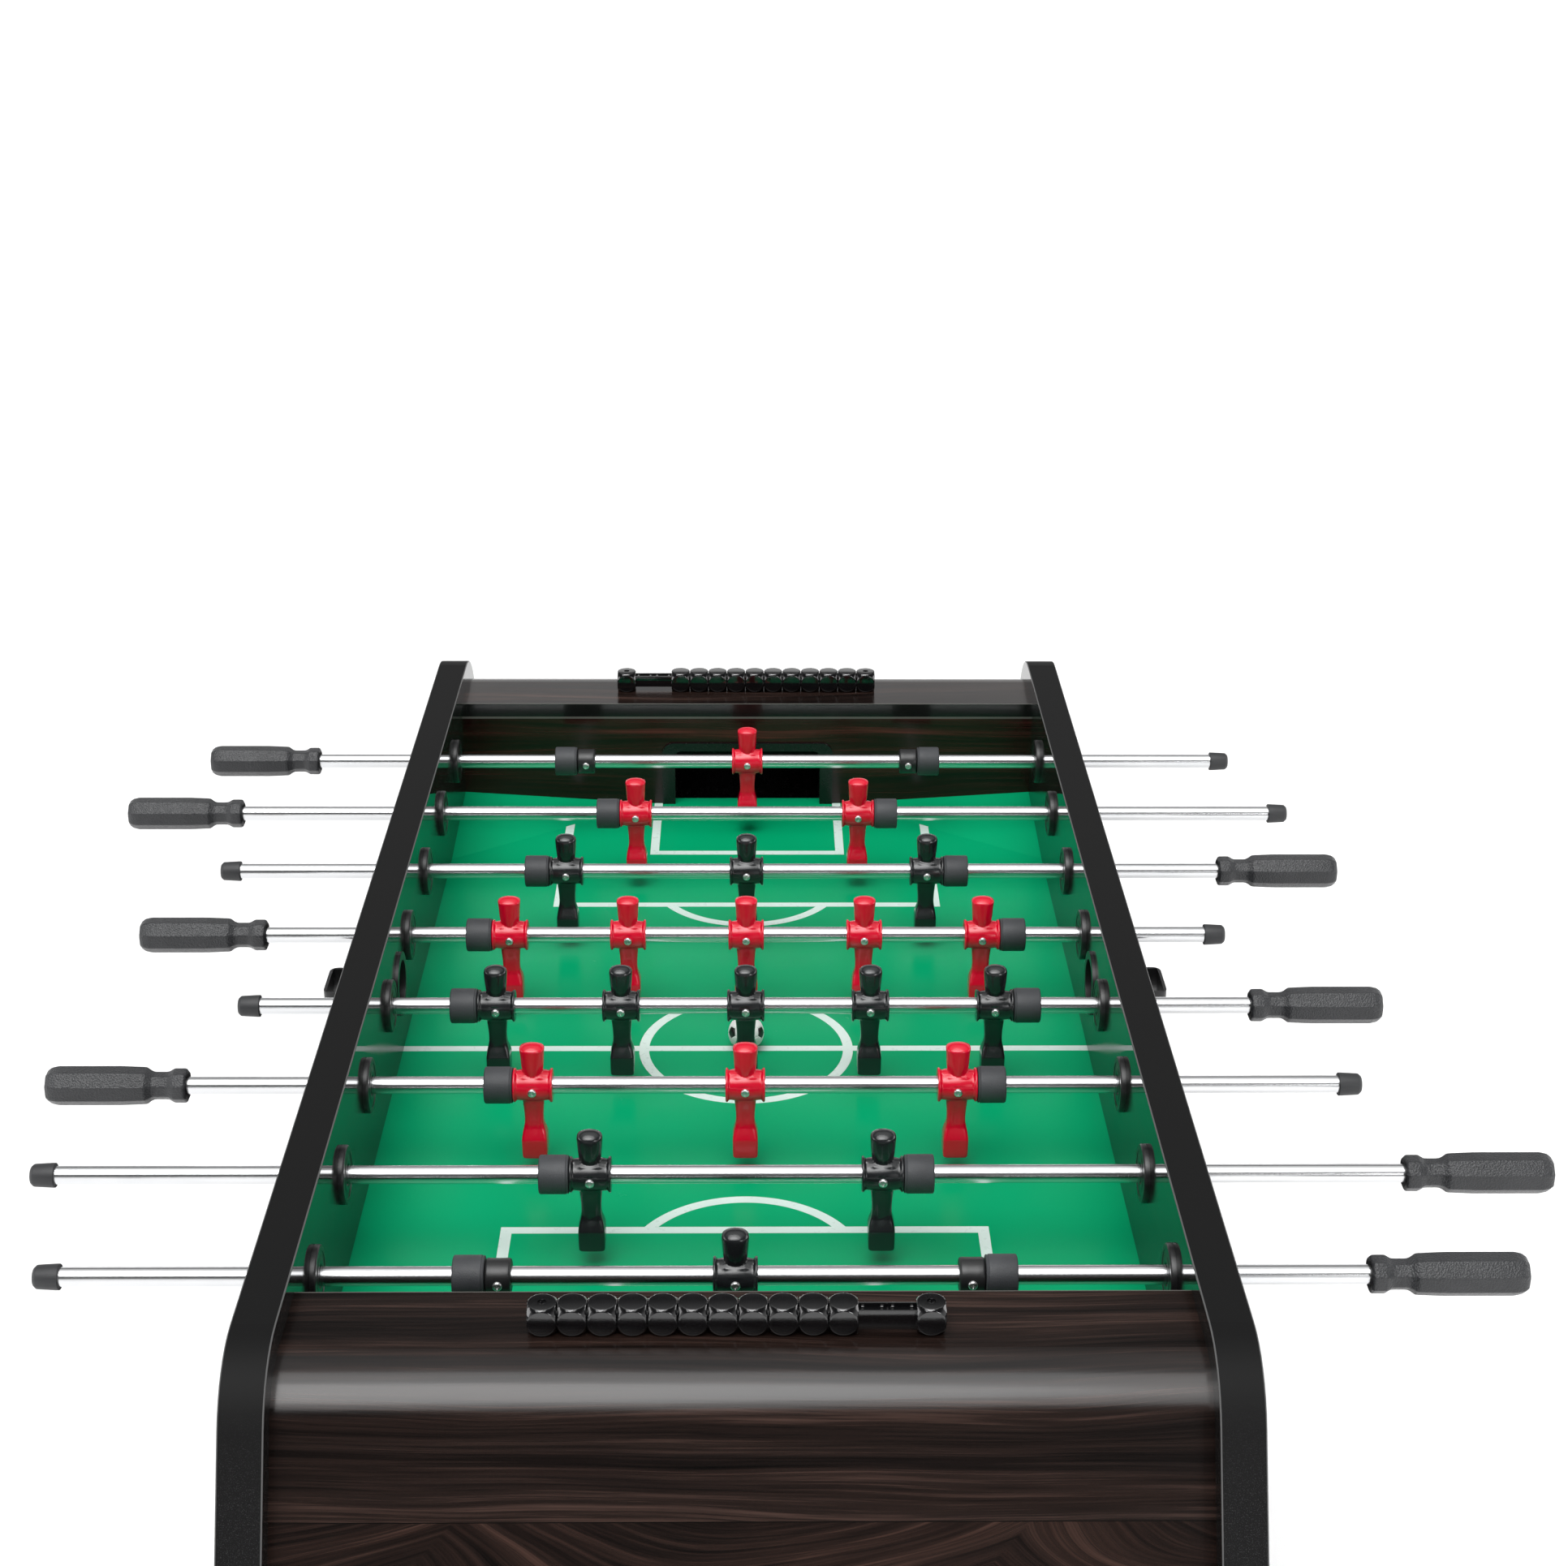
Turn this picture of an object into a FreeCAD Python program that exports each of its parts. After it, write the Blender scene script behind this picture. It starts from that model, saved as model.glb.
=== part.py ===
"""Foosball table: cabinet, eight player rods, two bead scorers, a ball and levelling feet.

Millimetres. X runs across the table, along the rods. Y runs along the table. Z is up.
The origin is on the floor, under the centre of the table.
"""

import FreeCAD
import Part
import os
from math import cos, radians, sin, tan

V = FreeCAD.Vector
X_AXIS = V(1, 0, 0)
Y_AXIS = V(0, 1, 0)
Z_AXIS = V(0, 0, 1)
CENTRE = V(0, 0, 0)

# ---- play area -------------------------------------------------------------------------
FIELD_Z = 735.0            # top of the playfield above the floor
FIELD_T = 12.0
IN_X = 344.0               # half the width between the side panels
IN_Y = 605.0               # half the length between the end walls
WALL_T = 15.0
RAMP_X = 230.0             # corner ramp, along the end wall
RAMP_Y = 160.0             # corner ramp, along the side wall
RAMP_H = 15.0

# ---- cabinet ---------------------------------------------------------------------------
PANEL_T = 34.0
OUT_X = IN_X + PANEL_T
RAIL_Z = FIELD_Z + 153.0   # top of the side panels
PROUD = 22.0               # side panels stand this far outside the end boards
BOARD_T = 18.0
CORNER_Y = 677.0           # where the top edge starts to curve down
CORNER_R = 80.0
FLARE = 28.0               # the ends lean outward by this angle below the corner
BELLY_Z = FIELD_Z + 20.0   # where the leaning end starts to turn back in
BELLY_R = 100.0
LEG_LEAN = 8.0             # the legs lean inward towards the floor
LEG_W = 190.0
LEG_Z = 20.0               # bottom of the legs, above the floor
BODY_Z = FIELD_Z - 235.0   # underside of the cabinet between the legs
ARCH_R = 110.0
EDGE_R = 1.2
BOTTOM_T = 12.0

# ---- rods ------------------------------------------------------------------------------
ROD_Z = FIELD_Z + 90.0
ROD_STEP = 150.0
ROD_R = 7.95
ROD_BORE = 6.0
FIT = 0.05                 # clearance of what is clamped on a rod
RUN = 0.08                 # running clearance of a rod in its bearing
GAP = 0.3                  # clearance between bodies that move apart
GRIP_L = 127.0
# along the handle from its inner end, half the width over its flats
GRIP_STATIONS = ((0, 13.6), (1.6, 14.7), (12, 14.7), (17.5, 11.9), (30.5, 11.9), (37, 15.7),
                 (60, 16.6), (117, 16.6), (123, 15.4), (127, 12.5))
CAP_L = 21.0
CAP_DEPTH = 17.0
# name, handle side, men along X, shift of the men, handle end, cap end
GOALIE = ([0.0], 630.0, 568.0)
PAIR = ([-125.0, 125.0], 693.0, 609.0)
TRIO = ([-193.0, 0.0, 193.0], 633.0, 562.0)
FIVE = ([-240.0, -120.0, 0.0, 120.0, 240.0], 614.0, 488.0)
RODS = [
    ("rod_1", -1, GOALIE, 0.0),
    ("rod_2", -1, PAIR, 0.0),
    ("rod_3", 1, TRIO, 0.0),
    ("rod_4", -1, FIVE, 0.0),
    ("rod_5", 1, FIVE, 0.0),
    ("rod_6", -1, TRIO, 0.0),
    ("rod_7", 1, PAIR, -7.0),
    ("rod_8", 1, GOALIE, -7.0),
]
HUB_HALF = 18.0            # half the length of a man's hub
HUB_R = 14.0
HUB_FLANGE_R = 15.6
SCREW_R = 1.6
BUMPER_L = 25.5
BUMPER_R = 16.8
GOALIE_STOP = 226.0        # outer face of a goalie rod's bumper, from the centre
COLLAR_L = 21.0
COLLAR_R = 14.5

# ---- bearings and serve holes ----------------------------------------------------------
BEARING_DISC_R = 25.5
BEARING_DISC_T = 5.0
BEARING_TUBE_R = 13.0
SERVE_Z = FIELD_Z + 74.0
SERVE_R = 24.0             # clear radius of the ball-serve hole
SERVE_WALL = 3.0
SERVE_REACH = 38.0         # how far the cup stands out of the side panel

# ---- goals -----------------------------------------------------------------------------
GOAL_X = 88.0              # half the goal's clear width
GOAL_H = 70.0
FRAME_X = 103.5
FRAME_H = 80.0
FRAME_T = 3.0
SKIN = 3.0                 # wall of the moulded goal
CHUTE_Y = 700.0            # back of the ball drop behind the goal
CHUTE_TOP = FIELD_Z + 78.0
RETURN_TOP = FIELD_Z - 88.0
RETURN_LOW = FIELD_Z - 158.0
RETURN_FALL = 24.0         # how far the chute floor falls from the drop to its mouth

# ---- scorers ---------------------------------------------------------------------------
SCORE_Y = 652.4
SCORE_HALF = 156.4
NEAR_SCORE_X = -5.0        # how far each scorer sits off the middle
FAR_SCORE_X = -1.6
BEADS = 10
BEAD = 24.0                # height and depth of a bead and of an end block
BEAD_W = 22.2              # and its width along the channel
BEAD_STEP = 22.5
BAR_W = 12.0
BAR_H = 13.6

# ---- feet, ball, fasteners -------------------------------------------------------------
FOOT_R = 16.0
STEM_R = 5.0
STEM_TOP = 58.0
INSERT_R = 9.0
BALL_R = 18.0
BOLT_R = 4.0
BOLT_HEAD_R = 9.0
BOLT_HEAD_T = 4.0
STRETCHER_Z = (150.0, 240.0)
STRETCHER_T = 28.0
CLEAT_W = 20.0
CLEAT_H = 40.0
BATTEN_W = 60.0


def box(x0, x1, y0, y1, z0, z1):
    return Part.makeBox(x1 - x0, y1 - y0, z1 - z0, V(x0, y0, z0))


def rod_x(radius, x0, x1, y, z):
    return Part.makeCylinder(radius, x1 - x0, V(x0, y, z), X_AXIS)


def ring_x(outer, inner, x0, x1, y, z):
    return rod_x(outer, x0, x1, y, z).cut(rod_x(inner, x0 - 1, x1 + 1, y, z))


def prism_x(points, x0, x1):
    """A closed outline of (y, z) points, extruded from x0 to x1."""
    wire = Part.makePolygon([V(x0, y, z) for y, z in points + points[:1]])
    return Part.Face(wire).extrude(V(x1 - x0, 0, 0))


def mirror_x(shape):
    return shape.mirror(CENTRE, X_AXIS)


def mirror_y(shape):
    return shape.mirror(CENTRE, Y_AXIS)


def half_turn(shape):
    turned = shape.copy()
    turned.rotate(CENTRE, Z_AXIS, 180)
    return turned


def group(shapes):
    return Part.makeCompound(shapes)


def save(name, shape):
    shape.exportStep(os.path.join("parts", name + ".step"))


# ---- the end profile that the side panels and the end boards share ----------------------

def polar(centre, radius, angle):
    return V(0, centre.y + radius * cos(radians(angle)), centre.z + radius * sin(radians(angle)))


def end_profile(inset):
    """Corners of the end's outline, this far inside the side panel's edge."""
    corner = V(0, CORNER_Y, RAIL_Z - CORNER_R)
    r1 = CORNER_R - inset
    outer = polar(corner, CORNER_R, FLARE)
    down = (outer.z - BELLY_Z) / cos(radians(FLARE))
    turn = outer + V(0, sin(radians(FLARE)), -cos(radians(FLARE))) * down
    belly = V(0, turn.y - BELLY_R * cos(radians(FLARE)), turn.z - BELLY_R * sin(radians(FLARE)))
    r2 = BELLY_R - inset
    mid1 = (90 + FLARE) / 2
    mid2 = (FLARE - LEG_LEAN) / 2
    return {
        "top": V(0, CORNER_Y, RAIL_Z - inset),
        "corner_mid": polar(corner, r1, mid1),
        "corner_end": polar(corner, r1, FLARE),
        "belly_start": polar(belly, r2, FLARE),
        "belly_mid": polar(belly, r2, mid2),
        "belly_end": polar(belly, r2, -LEG_LEAN),
    }


def leg_y(z, inset):
    """Y of the leg's outline at height z, below the belly."""
    end = end_profile(inset)["belly_end"]
    return end.y - (end.z - z) * tan(radians(LEG_LEAN))


def end_edges(inset, z_end):
    """Edges of the outline from the top of the corner down to height z_end."""
    p = end_profile(inset)
    last = V(0, leg_y(z_end, inset), z_end)
    edges = [
        Part.Arc(p["top"], p["corner_mid"], p["corner_end"]).toShape(),
        Part.makeLine(p["corner_end"], p["belly_start"]),
        Part.Arc(p["belly_start"], p["belly_mid"], p["belly_end"]).toShape(),
        Part.makeLine(p["belly_end"], last),
    ]
    return edges, last


# ---- cabinet pieces --------------------------------------------------------------------

def side_panel():
    """The right-hand panel: rail, body and two legs cut from one board."""
    edges, foot = end_edges(0, LEG_Z)
    inner_foot = foot - V(0, LEG_W, 0)
    lean = radians(LEG_LEAN)
    turn = radians(90 - LEG_LEAN)
    arch_len = ARCH_R * tan(turn / 2)
    top_inner_y = inner_foot.y + (BODY_Z - LEG_Z) * tan(lean)
    corner = V(0, top_inner_y, BODY_Z)
    leg_tangent = corner - V(0, sin(lean), cos(lean)) * arch_len
    body_tangent = corner - V(0, arch_len, 0)
    arch_centre = V(0, body_tangent.y, BODY_Z - ARCH_R)
    arch_mid = polar(arch_centre, ARCH_R, (90 - LEG_LEAN) / 2)
    top_mid = V(0, 0, RAIL_Z)
    low_mid = V(0, 0, BODY_Z)
    edges = [Part.makeLine(top_mid, V(0, CORNER_Y, RAIL_Z))] + edges + [
        Part.makeLine(foot, inner_foot),
        Part.makeLine(inner_foot, leg_tangent),
        Part.Arc(leg_tangent, arch_mid, body_tangent).toShape(),
        Part.makeLine(body_tangent, low_mid),
        Part.makeLine(low_mid, top_mid),
    ]
    half = Part.Face(Part.Wire(Part.__sortEdges__(edges)))
    half = half.extrude(V(PANEL_T, 0, 0))
    half.translate(V(IN_X, 0, 0))
    panel = half.fuse(mirror_y(half)).removeSplitter()
    panel = round_outline(panel)
    for _, y in rod_places():
        panel = panel.cut(rod_x(BEARING_TUBE_R + FIT, IN_X - 1, OUT_X + 1, y, ROD_Z))
    panel = panel.cut(rod_x(SERVE_R + SERVE_WALL + FIT, IN_X - 1, OUT_X + 1, 0, SERVE_Z))
    for y in foot_places():
        panel = panel.cut(Part.makeCylinder(INSERT_R + FIT, STEM_TOP, V(OUT_X - PANEL_T / 2, y, LEG_Z - 1)))
    for y, z, _ in bolt_places():
        panel = panel.cut(rod_x(BOLT_R + FIT, IN_X - 1, OUT_X + 1, y, z))
    return panel


def round_outline(panel):
    """Ease the long edges of both faces of a panel."""
    def on_a_face(edge):
        bound = edge.BoundBox
        flat = bound.XLength < 1e-6
        return flat and (abs(bound.XMin - IN_X) < 1e-6 or abs(bound.XMin - OUT_X) < 1e-6)
    return panel.makeFillet(EDGE_R, [e for e in panel.Edges if on_a_face(e)])


def bent_board(inset, thickness, z_end, y_inner):
    """A board that runs flat from y_inner, over the corner and down the end to z_end."""
    outer, outer_foot = end_edges(inset, z_end)
    inner, inner_foot = end_edges(inset + thickness, z_end)
    start_outer = V(0, y_inner, RAIL_Z - inset)
    start_inner = V(0, y_inner, RAIL_Z - inset - thickness)
    edges = outer + inner + [
        Part.makeLine(start_outer, V(0, CORNER_Y, RAIL_Z - inset)),
        Part.makeLine(start_inner, V(0, CORNER_Y, RAIL_Z - inset - thickness)),
        Part.makeLine(start_outer, start_inner),
        Part.makeLine(outer_foot, inner_foot),
    ]
    board = Part.Face(Part.Wire(Part.__sortEdges__(edges))).extrude(V(2 * IN_X, 0, 0))
    board.translate(V(-IN_X, 0, 0))
    return board


def far_end_board():
    board = bent_board(PROUD, BOARD_T, BODY_Z, IN_Y)
    mouth = GOAL_X + SKIN + GAP
    mouth_box = box(-mouth, mouth, CHUTE_Y, OUT_X + 1000, RETURN_LOW - GAP, RETURN_TOP + GAP)
    return board.cut(mouth_box)


def far_end_wall():
    top = RAIL_Z - PROUD - BOARD_T
    wall = box(-IN_X, IN_X, IN_Y, IN_Y + WALL_T, FIELD_Z, top)
    half = GOAL_X + SKIN + FIT
    return wall.cut(box(-half, half, IN_Y - 1, IN_Y + WALL_T + 1, FIELD_Z - 1, FIELD_Z + GOAL_H + SKIN + FIT))


def playfield():
    reach = IN_Y + WALL_T
    return box(-IN_X, IN_X, -reach, reach, FIELD_Z - FIELD_T, FIELD_Z)


def corner_ramp():
    """A low wedge that rolls the ball out of the corner at +X +Y."""
    corner = V(IN_X, IN_Y, FIELD_Z)
    along_end = V(IN_X - RAMP_X, IN_Y, FIELD_Z)
    along_side = V(IN_X, IN_Y - RAMP_Y, FIELD_Z)
    peak = V(IN_X, IN_Y, FIELD_Z + RAMP_H)
    faces = [
        Part.Face(Part.makePolygon([a, b, c, a]))
        for a, b, c in (
            (corner, along_side, along_end),
            (corner, along_end, peak),
            (corner, peak, along_side),
            (along_end, along_side, peak),
        )
    ]
    return Part.Solid(Part.Shell(faces))


def goal():
    """The far goal: frame, mouth, ball drop and return chute, moulded in one piece."""
    frame = box(-FRAME_X, FRAME_X, IN_Y - FRAME_T, IN_Y, FIELD_Z, FIELD_Z + FRAME_H)
    top_edges = [e for e in frame.Edges if abs(e.BoundBox.ZMin - FIELD_Z - FRAME_H) < 1e-6 and e.BoundBox.XLength < 1]
    frame = frame.makeFillet(14, top_edges)
    outer = GOAL_X + SKIN
    sleeve = box(-outer, outer, IN_Y - 1, IN_Y + WALL_T, FIELD_Z, FIELD_Z + GOAL_H + SKIN)
    back = IN_Y + WALL_T
    mouth_y = leg_y(RETURN_TOP, PROUD) + 2
    shell = prism_x([
        (back, CHUTE_TOP),
        (CHUTE_Y, CHUTE_TOP),
        (CHUTE_Y, RETURN_TOP),
        (mouth_y, RETURN_TOP),
        (mouth_y, RETURN_LOW),
        (CHUTE_Y, RETURN_LOW),
        (back, RETURN_LOW + RETURN_FALL),
    ], -outer, outer)
    hollow = prism_x([
        (back + SKIN, CHUTE_TOP - SKIN),
        (CHUTE_Y - SKIN, CHUTE_TOP - SKIN),
        (CHUTE_Y - SKIN, RETURN_TOP - SKIN),
        (mouth_y + 1, RETURN_TOP - SKIN),
        (mouth_y + 1, RETURN_LOW + SKIN),
        (CHUTE_Y, RETURN_LOW + SKIN),
        (back + SKIN, RETURN_LOW + RETURN_FALL),
    ], -GOAL_X, GOAL_X)
    mouth = box(-GOAL_X, GOAL_X, IN_Y - FRAME_T - 1, back + SKIN + 1, FIELD_Z - 1, FIELD_Z + GOAL_H)
    mouth_edges = [
        e for e in mouth.Edges
        if abs(e.BoundBox.ZMin - FIELD_Z - GOAL_H) < 1e-6 and e.BoundBox.XLength < 1
    ]
    mouth = mouth.makeFillet(8, mouth_edges)
    return frame.fuse([sleeve, shell]).cut(mouth.fuse(hollow))


def rod_places():
    """(row, y) of each rod, from the far end."""
    return [(RODS[i], (len(RODS) / 2 - 0.5 - i) * ROD_STEP) for i in range(len(RODS))]


def foot_places():
    y = leg_y(LEG_Z, 0) - LEG_W / 2
    return (-y, y)


def bolt_places():
    """(y, z, length) of the bolts that come through each side panel."""
    z_low = sum(STRETCHER_Z) / 2
    y_low = stretcher_y()
    z_high = FIELD_Z - FIELD_T - CLEAT_H / 2
    low = [(y, z_low, PANEL_T + 40) for y in (-y_low, y_low)]
    high = [(y, z_high, PANEL_T + CLEAT_W - 4) for y in (-525.0, -225.0, 225.0, 525.0)]
    return low + high


def stretcher_y():
    return leg_y(sum(STRETCHER_Z) / 2, 0) - LEG_W / 2


def bearing(y):
    """Flanged bush in the right-hand panel: disc inside, tube through, flange and nut outside."""
    bush = rod_x(BEARING_DISC_R, IN_X - BEARING_DISC_T, IN_X, y, ROD_Z)
    bush = bush.makeFillet(1.5, [e for e in bush.Edges if abs(e.BoundBox.XMax - IN_X + BEARING_DISC_T) < 1e-6])
    bush = bush.fuse([
        rod_x(BEARING_TUBE_R, IN_X - 1, OUT_X + 6, y, ROD_Z),
        rod_x(18, OUT_X, OUT_X + 5, y, ROD_Z),
    ])
    return bush.cut(rod_x(ROD_R + RUN, IN_X - 10, OUT_X + 10, y, ROD_Z))


def serve_cup():
    """Ball-serve tube through the right-hand panel, with a half-open cup outside."""
    end = OUT_X + SERVE_REACH
    outer = SERVE_R + SERVE_WALL
    body = rod_x(outer, IN_X - 1, end, 0, SERVE_Z)
    body = body.makeFillet(8, [e for e in body.Edges if abs(e.BoundBox.XMin - end) < 1e-6])
    hollow = rod_x(SERVE_R, IN_X - 10, end - SERVE_WALL, 0, SERVE_Z)
    open_top = box(OUT_X + 4, end + 1, -outer - 1, outer + 1, SERVE_Z + 4, SERVE_Z + outer + 1)
    ring = rod_x(32, IN_X - SERVE_WALL, IN_X, 0, SERVE_Z)
    flange = rod_x(33, OUT_X, OUT_X + 4, 0, SERVE_Z)
    return body.fuse([ring, flange]).cut(hollow.fuse(open_top))


def under_frame():
    """Cleats and battens that carry the playfield, and the stretchers between the legs."""
    top = FIELD_Z - FIELD_T
    pieces = []
    cleat = box(IN_X - CLEAT_W, IN_X, -IN_Y + 5, IN_Y - 5, top - CLEAT_H, top)
    stretcher_half = STRETCHER_T / 2
    y = stretcher_y()
    stretcher = box(-IN_X, IN_X, y - stretcher_half, y + stretcher_half, *STRETCHER_Z)
    for by, bz, length in bolt_places():
        hole = rod_x(BOLT_R + FIT, OUT_X - length - 1, OUT_X, by, bz)
        if bz > BODY_Z:
            cleat = cleat.cut(hole)
        elif by > 0:
            stretcher = stretcher.cut([hole, mirror_x(hole)])
    pieces += [cleat, mirror_x(cleat), stretcher, mirror_y(stretcher)]
    half = IN_X - CLEAT_W
    for y in (-2.5 * ROD_STEP, 0.0, 2.5 * ROD_STEP):
        pieces.append(box(-half, half, y - BATTEN_W / 2, y + BATTEN_W / 2, top - 20, top))
    return group(pieces)


def bottom_panel():
    reach = leg_y(BODY_Z, PROUD + BOARD_T)
    return box(-IN_X, IN_X, -reach, reach, BODY_Z, BODY_Z + BOTTOM_T)


def cabinet_fasteners():
    """Bolts through the side panels, and the threaded inserts of the levelling feet."""
    pieces = []
    for y, z, length in bolt_places():
        head = rod_x(BOLT_HEAD_R, OUT_X, OUT_X + BOLT_HEAD_T, y, z)
        head = head.makeFillet(1.5, [e for e in head.Edges if abs(e.BoundBox.XMin - OUT_X - BOLT_HEAD_T) < 1e-6])
        socket = rod_x(3.5, OUT_X + 1.5, OUT_X + BOLT_HEAD_T + 1, y, z)
        bolt = head.cut(socket).fuse(rod_x(BOLT_R, OUT_X - length, OUT_X + 0.5, y, z))
        pieces += [bolt, mirror_x(bolt)]
    for y in foot_places():
        insert = Part.makeCylinder(INSERT_R, 20, V(OUT_X - PANEL_T / 2, y, LEG_Z))
        insert = insert.cut(Part.makeCylinder(STEM_R + RUN, 30, V(OUT_X - PANEL_T / 2, y, LEG_Z - 5)))
        pieces += [insert, mirror_x(insert)]
    return group(pieces)


def levelers():
    """Four feet, screwed fully in: a pad on the floor and a stem in the leg's insert."""
    pieces = []
    for y in foot_places():
        place = V(OUT_X - PANEL_T / 2, y, 0)
        pad = Part.makeCylinder(FOOT_R, 8, place)
        cone = Part.makeCone(FOOT_R, 8, LEG_Z - 8 - GAP, place + V(0, 0, 8))
        stem = Part.makeCylinder(STEM_R, STEM_TOP - 10, place + V(0, 0, 10))
        foot = pad.fuse([cone, stem])
        pieces += [foot, mirror_x(foot)]
    return group(pieces)


# ---- scorers ---------------------------------------------------------------------------

def dice(x, z):
    """A ball flattened on six sides, centred on the near scorer's line."""
    half = BEAD / 2
    block = box(x - BEAD_W / 2, x + BEAD_W / 2, -SCORE_Y - half, -SCORE_Y + half, z - half, z + half)
    return block.common(Part.makeSphere(BEAD * 0.7, V(x, -SCORE_Y, z)))


def near_score_rail():
    """Square channel held clear of the board between two end blocks."""
    z = RAIL_Z - PROUD
    top = z + GAP + BEAD / 2 + BAR_H / 2
    bar = box(-SCORE_HALF + 6, SCORE_HALF - 6, -SCORE_Y - BAR_W / 2, -SCORE_Y + BAR_W / 2, top - BAR_H, top)
    groove = box(-SCORE_HALF, SCORE_HALF, -SCORE_Y - BAR_W / 2 + 2, -SCORE_Y + BAR_W / 2 - 2, top - 3, top + 1)
    middle = SCORE_HALF - BEAD_W / 2
    return bar.cut(groove).fuse([dice(side * middle, z + BEAD / 2) for side in (-1, 1)])


def near_beads():
    """Ten beads together at the left end of the channel."""
    bar_z = RAIL_Z - PROUD + GAP + BEAD / 2
    half_w = BAR_W / 2 + GAP
    half_h = BAR_H / 2 + GAP
    beads = []
    for i in range(BEADS):
        x = -SCORE_HALF + BEAD_W + GAP + BEAD_W / 2 + i * BEAD_STEP
        hole = box(x - BEAD, x + BEAD, -SCORE_Y - half_w, -SCORE_Y + half_w, bar_z - half_h, bar_z + half_h)
        beads.append(dice(x, bar_z).cut(hole))
    return group(beads)


# ---- rods ------------------------------------------------------------------------------

def man(x, y):
    """A player on the rod: hub, head and a leg that flares to the foot."""
    front = [(-7.5, -38), (-11, -56), (-10.8, -71), (10.8, -71), (11, -56), (7.5, -38), (9, -12),
             (9, 16), (10.9, 26), (10.9, 37), (6, 43), (-6, 43), (-10.9, 37), (-10.9, 26), (-9, 16), (-9, -12)]
    side = [(-6.5, -38), (-11.5, -54), (-11.5, -60), (-8, -71), (8, -71), (11.5, -60), (11.5, -54), (6.5, -38),
            (9, -10), (8, 16), (9.5, 26), (9, 38), (4, 43), (-4, 43), (-9, 38), (-9.5, 26), (-8, 16), (-9, -10)]
    wire = Part.makePolygon([V(a, -20, b) for a, b in front + front[:1]])
    body = Part.Face(wire).extrude(V(0, 40, 0)).common(prism_x(side, -20, 20))
    hub = rod_x(HUB_R, -HUB_HALF, HUB_HALF, 0, 0)
    flanges = [
        rod_x(HUB_FLANGE_R, -HUB_HALF, -HUB_HALF + 2.5, 0, 0),
        rod_x(HUB_FLANGE_R, HUB_HALF - 2.5, HUB_HALF, 0, 0),
    ]
    player = body.fuse([hub] + flanges)
    player = player.cut([
        rod_x(ROD_R + FIT, -30, 30, 0, 0),
        Part.makeCylinder(SCREW_R + FIT, 60, V(0, -30, 0), Y_AXIS),
    ])
    player.translate(V(x, y, ROD_Z))
    return player


def collar(x, y):
    """A waisted stop collar, clamped on a goalie rod by a screw."""
    third = COLLAR_L / 3
    x0 = x - COLLAR_L / 2
    ring = rod_x(COLLAR_R, x0, x0 + third, y, ROD_Z).fuse([
        rod_x(COLLAR_R - 1.8, x0, x0 + COLLAR_L, y, ROD_Z),
        rod_x(COLLAR_R, x0 + COLLAR_L - third, x0 + COLLAR_L, y, ROD_Z),
    ])
    return ring.cut([
        rod_x(ROD_R + FIT, x0 - 1, x0 + COLLAR_L + 1, y, ROD_Z),
        Part.makeCylinder(SCREW_R + FIT, 60, V(x, y - 30, ROD_Z), Y_AXIS),
    ])


def screw(x, y, seat):
    """A cross-head screw from the near side, right through the rod."""
    head = Part.makeCylinder(3.7, 2.2, V(x, y - seat - 2.2, ROD_Z), Y_AXIS)
    shank = Part.makeCylinder(SCREW_R, 2 * seat - 2, V(x, y - seat - 0.5, ROD_Z), Y_AXIS)
    slots = [
        box(x - 2.4, x + 2.4, y - seat - 3, y - seat - 1.2, ROD_Z - 0.5, ROD_Z + 0.5),
        box(x - 0.5, x + 0.5, y - seat - 3, y - seat - 1.2, ROD_Z - 2.4, ROD_Z + 2.4),
    ]
    return head.fuse(shank).cut(slots)


def bumper(x0, y):
    ring = ring_x(BUMPER_R, ROD_R + GAP, x0, x0 + BUMPER_L, y, ROD_Z)
    rims = [e for e in ring.Edges if e.BoundBox.ZLength > 2 * BUMPER_R - 0.5 and e.BoundBox.XLength < 1e-6]
    return ring.makeFillet(1.2, rims)


def grip(y, outer_end):
    """Eight-sided handle, necked behind the flange at its inner end. Right-hand side."""
    inner_end = outer_end - GRIP_L
    rings = []
    for along, flat in GRIP_STATIONS:
        reach = flat / cos(radians(22.5))
        rings.append([V(inner_end + along, y + reach * cos(radians(22.5 + 45 * i)),
                        ROD_Z + reach * sin(radians(22.5 + 45 * i))) for i in range(8)])
    faces = [Part.Face(Part.makePolygon(ring + ring[:1])) for ring in (rings[0], rings[-1])]
    for inner, outer in zip(rings, rings[1:]):
        for i in range(8):
            j = (i + 1) % 8
            faces.append(Part.Face(Part.makePolygon([inner[i], inner[j], outer[j], outer[i], inner[i]])))
    handle = Part.Solid(Part.Shell(faces))
    dish = Part.makeCone(12.4, ROD_R + FIT, 3.5, V(inner_end, y, ROD_Z), X_AXIS)
    return handle.cut(rod_x(ROD_R + FIT, inner_end - 1, outer_end - 15, y, ROD_Z).fuse(dish))


def end_cap(y, outer_end):
    """Soft cap on the rod's free end. Right-hand side."""
    inner_end = outer_end - CAP_L
    cap = Part.makeCone(10.6, 9.7, CAP_L - 2.5, V(inner_end, y, ROD_Z), X_AXIS).fuse(
        Part.makeCone(9.7, 7.2, 2.5, V(outer_end - 2.5, y, ROD_Z), X_AXIS))
    return cap.cut(rod_x(ROD_R + FIT, inner_end - 1, inner_end + CAP_DEPTH, y, ROD_Z))


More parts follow.
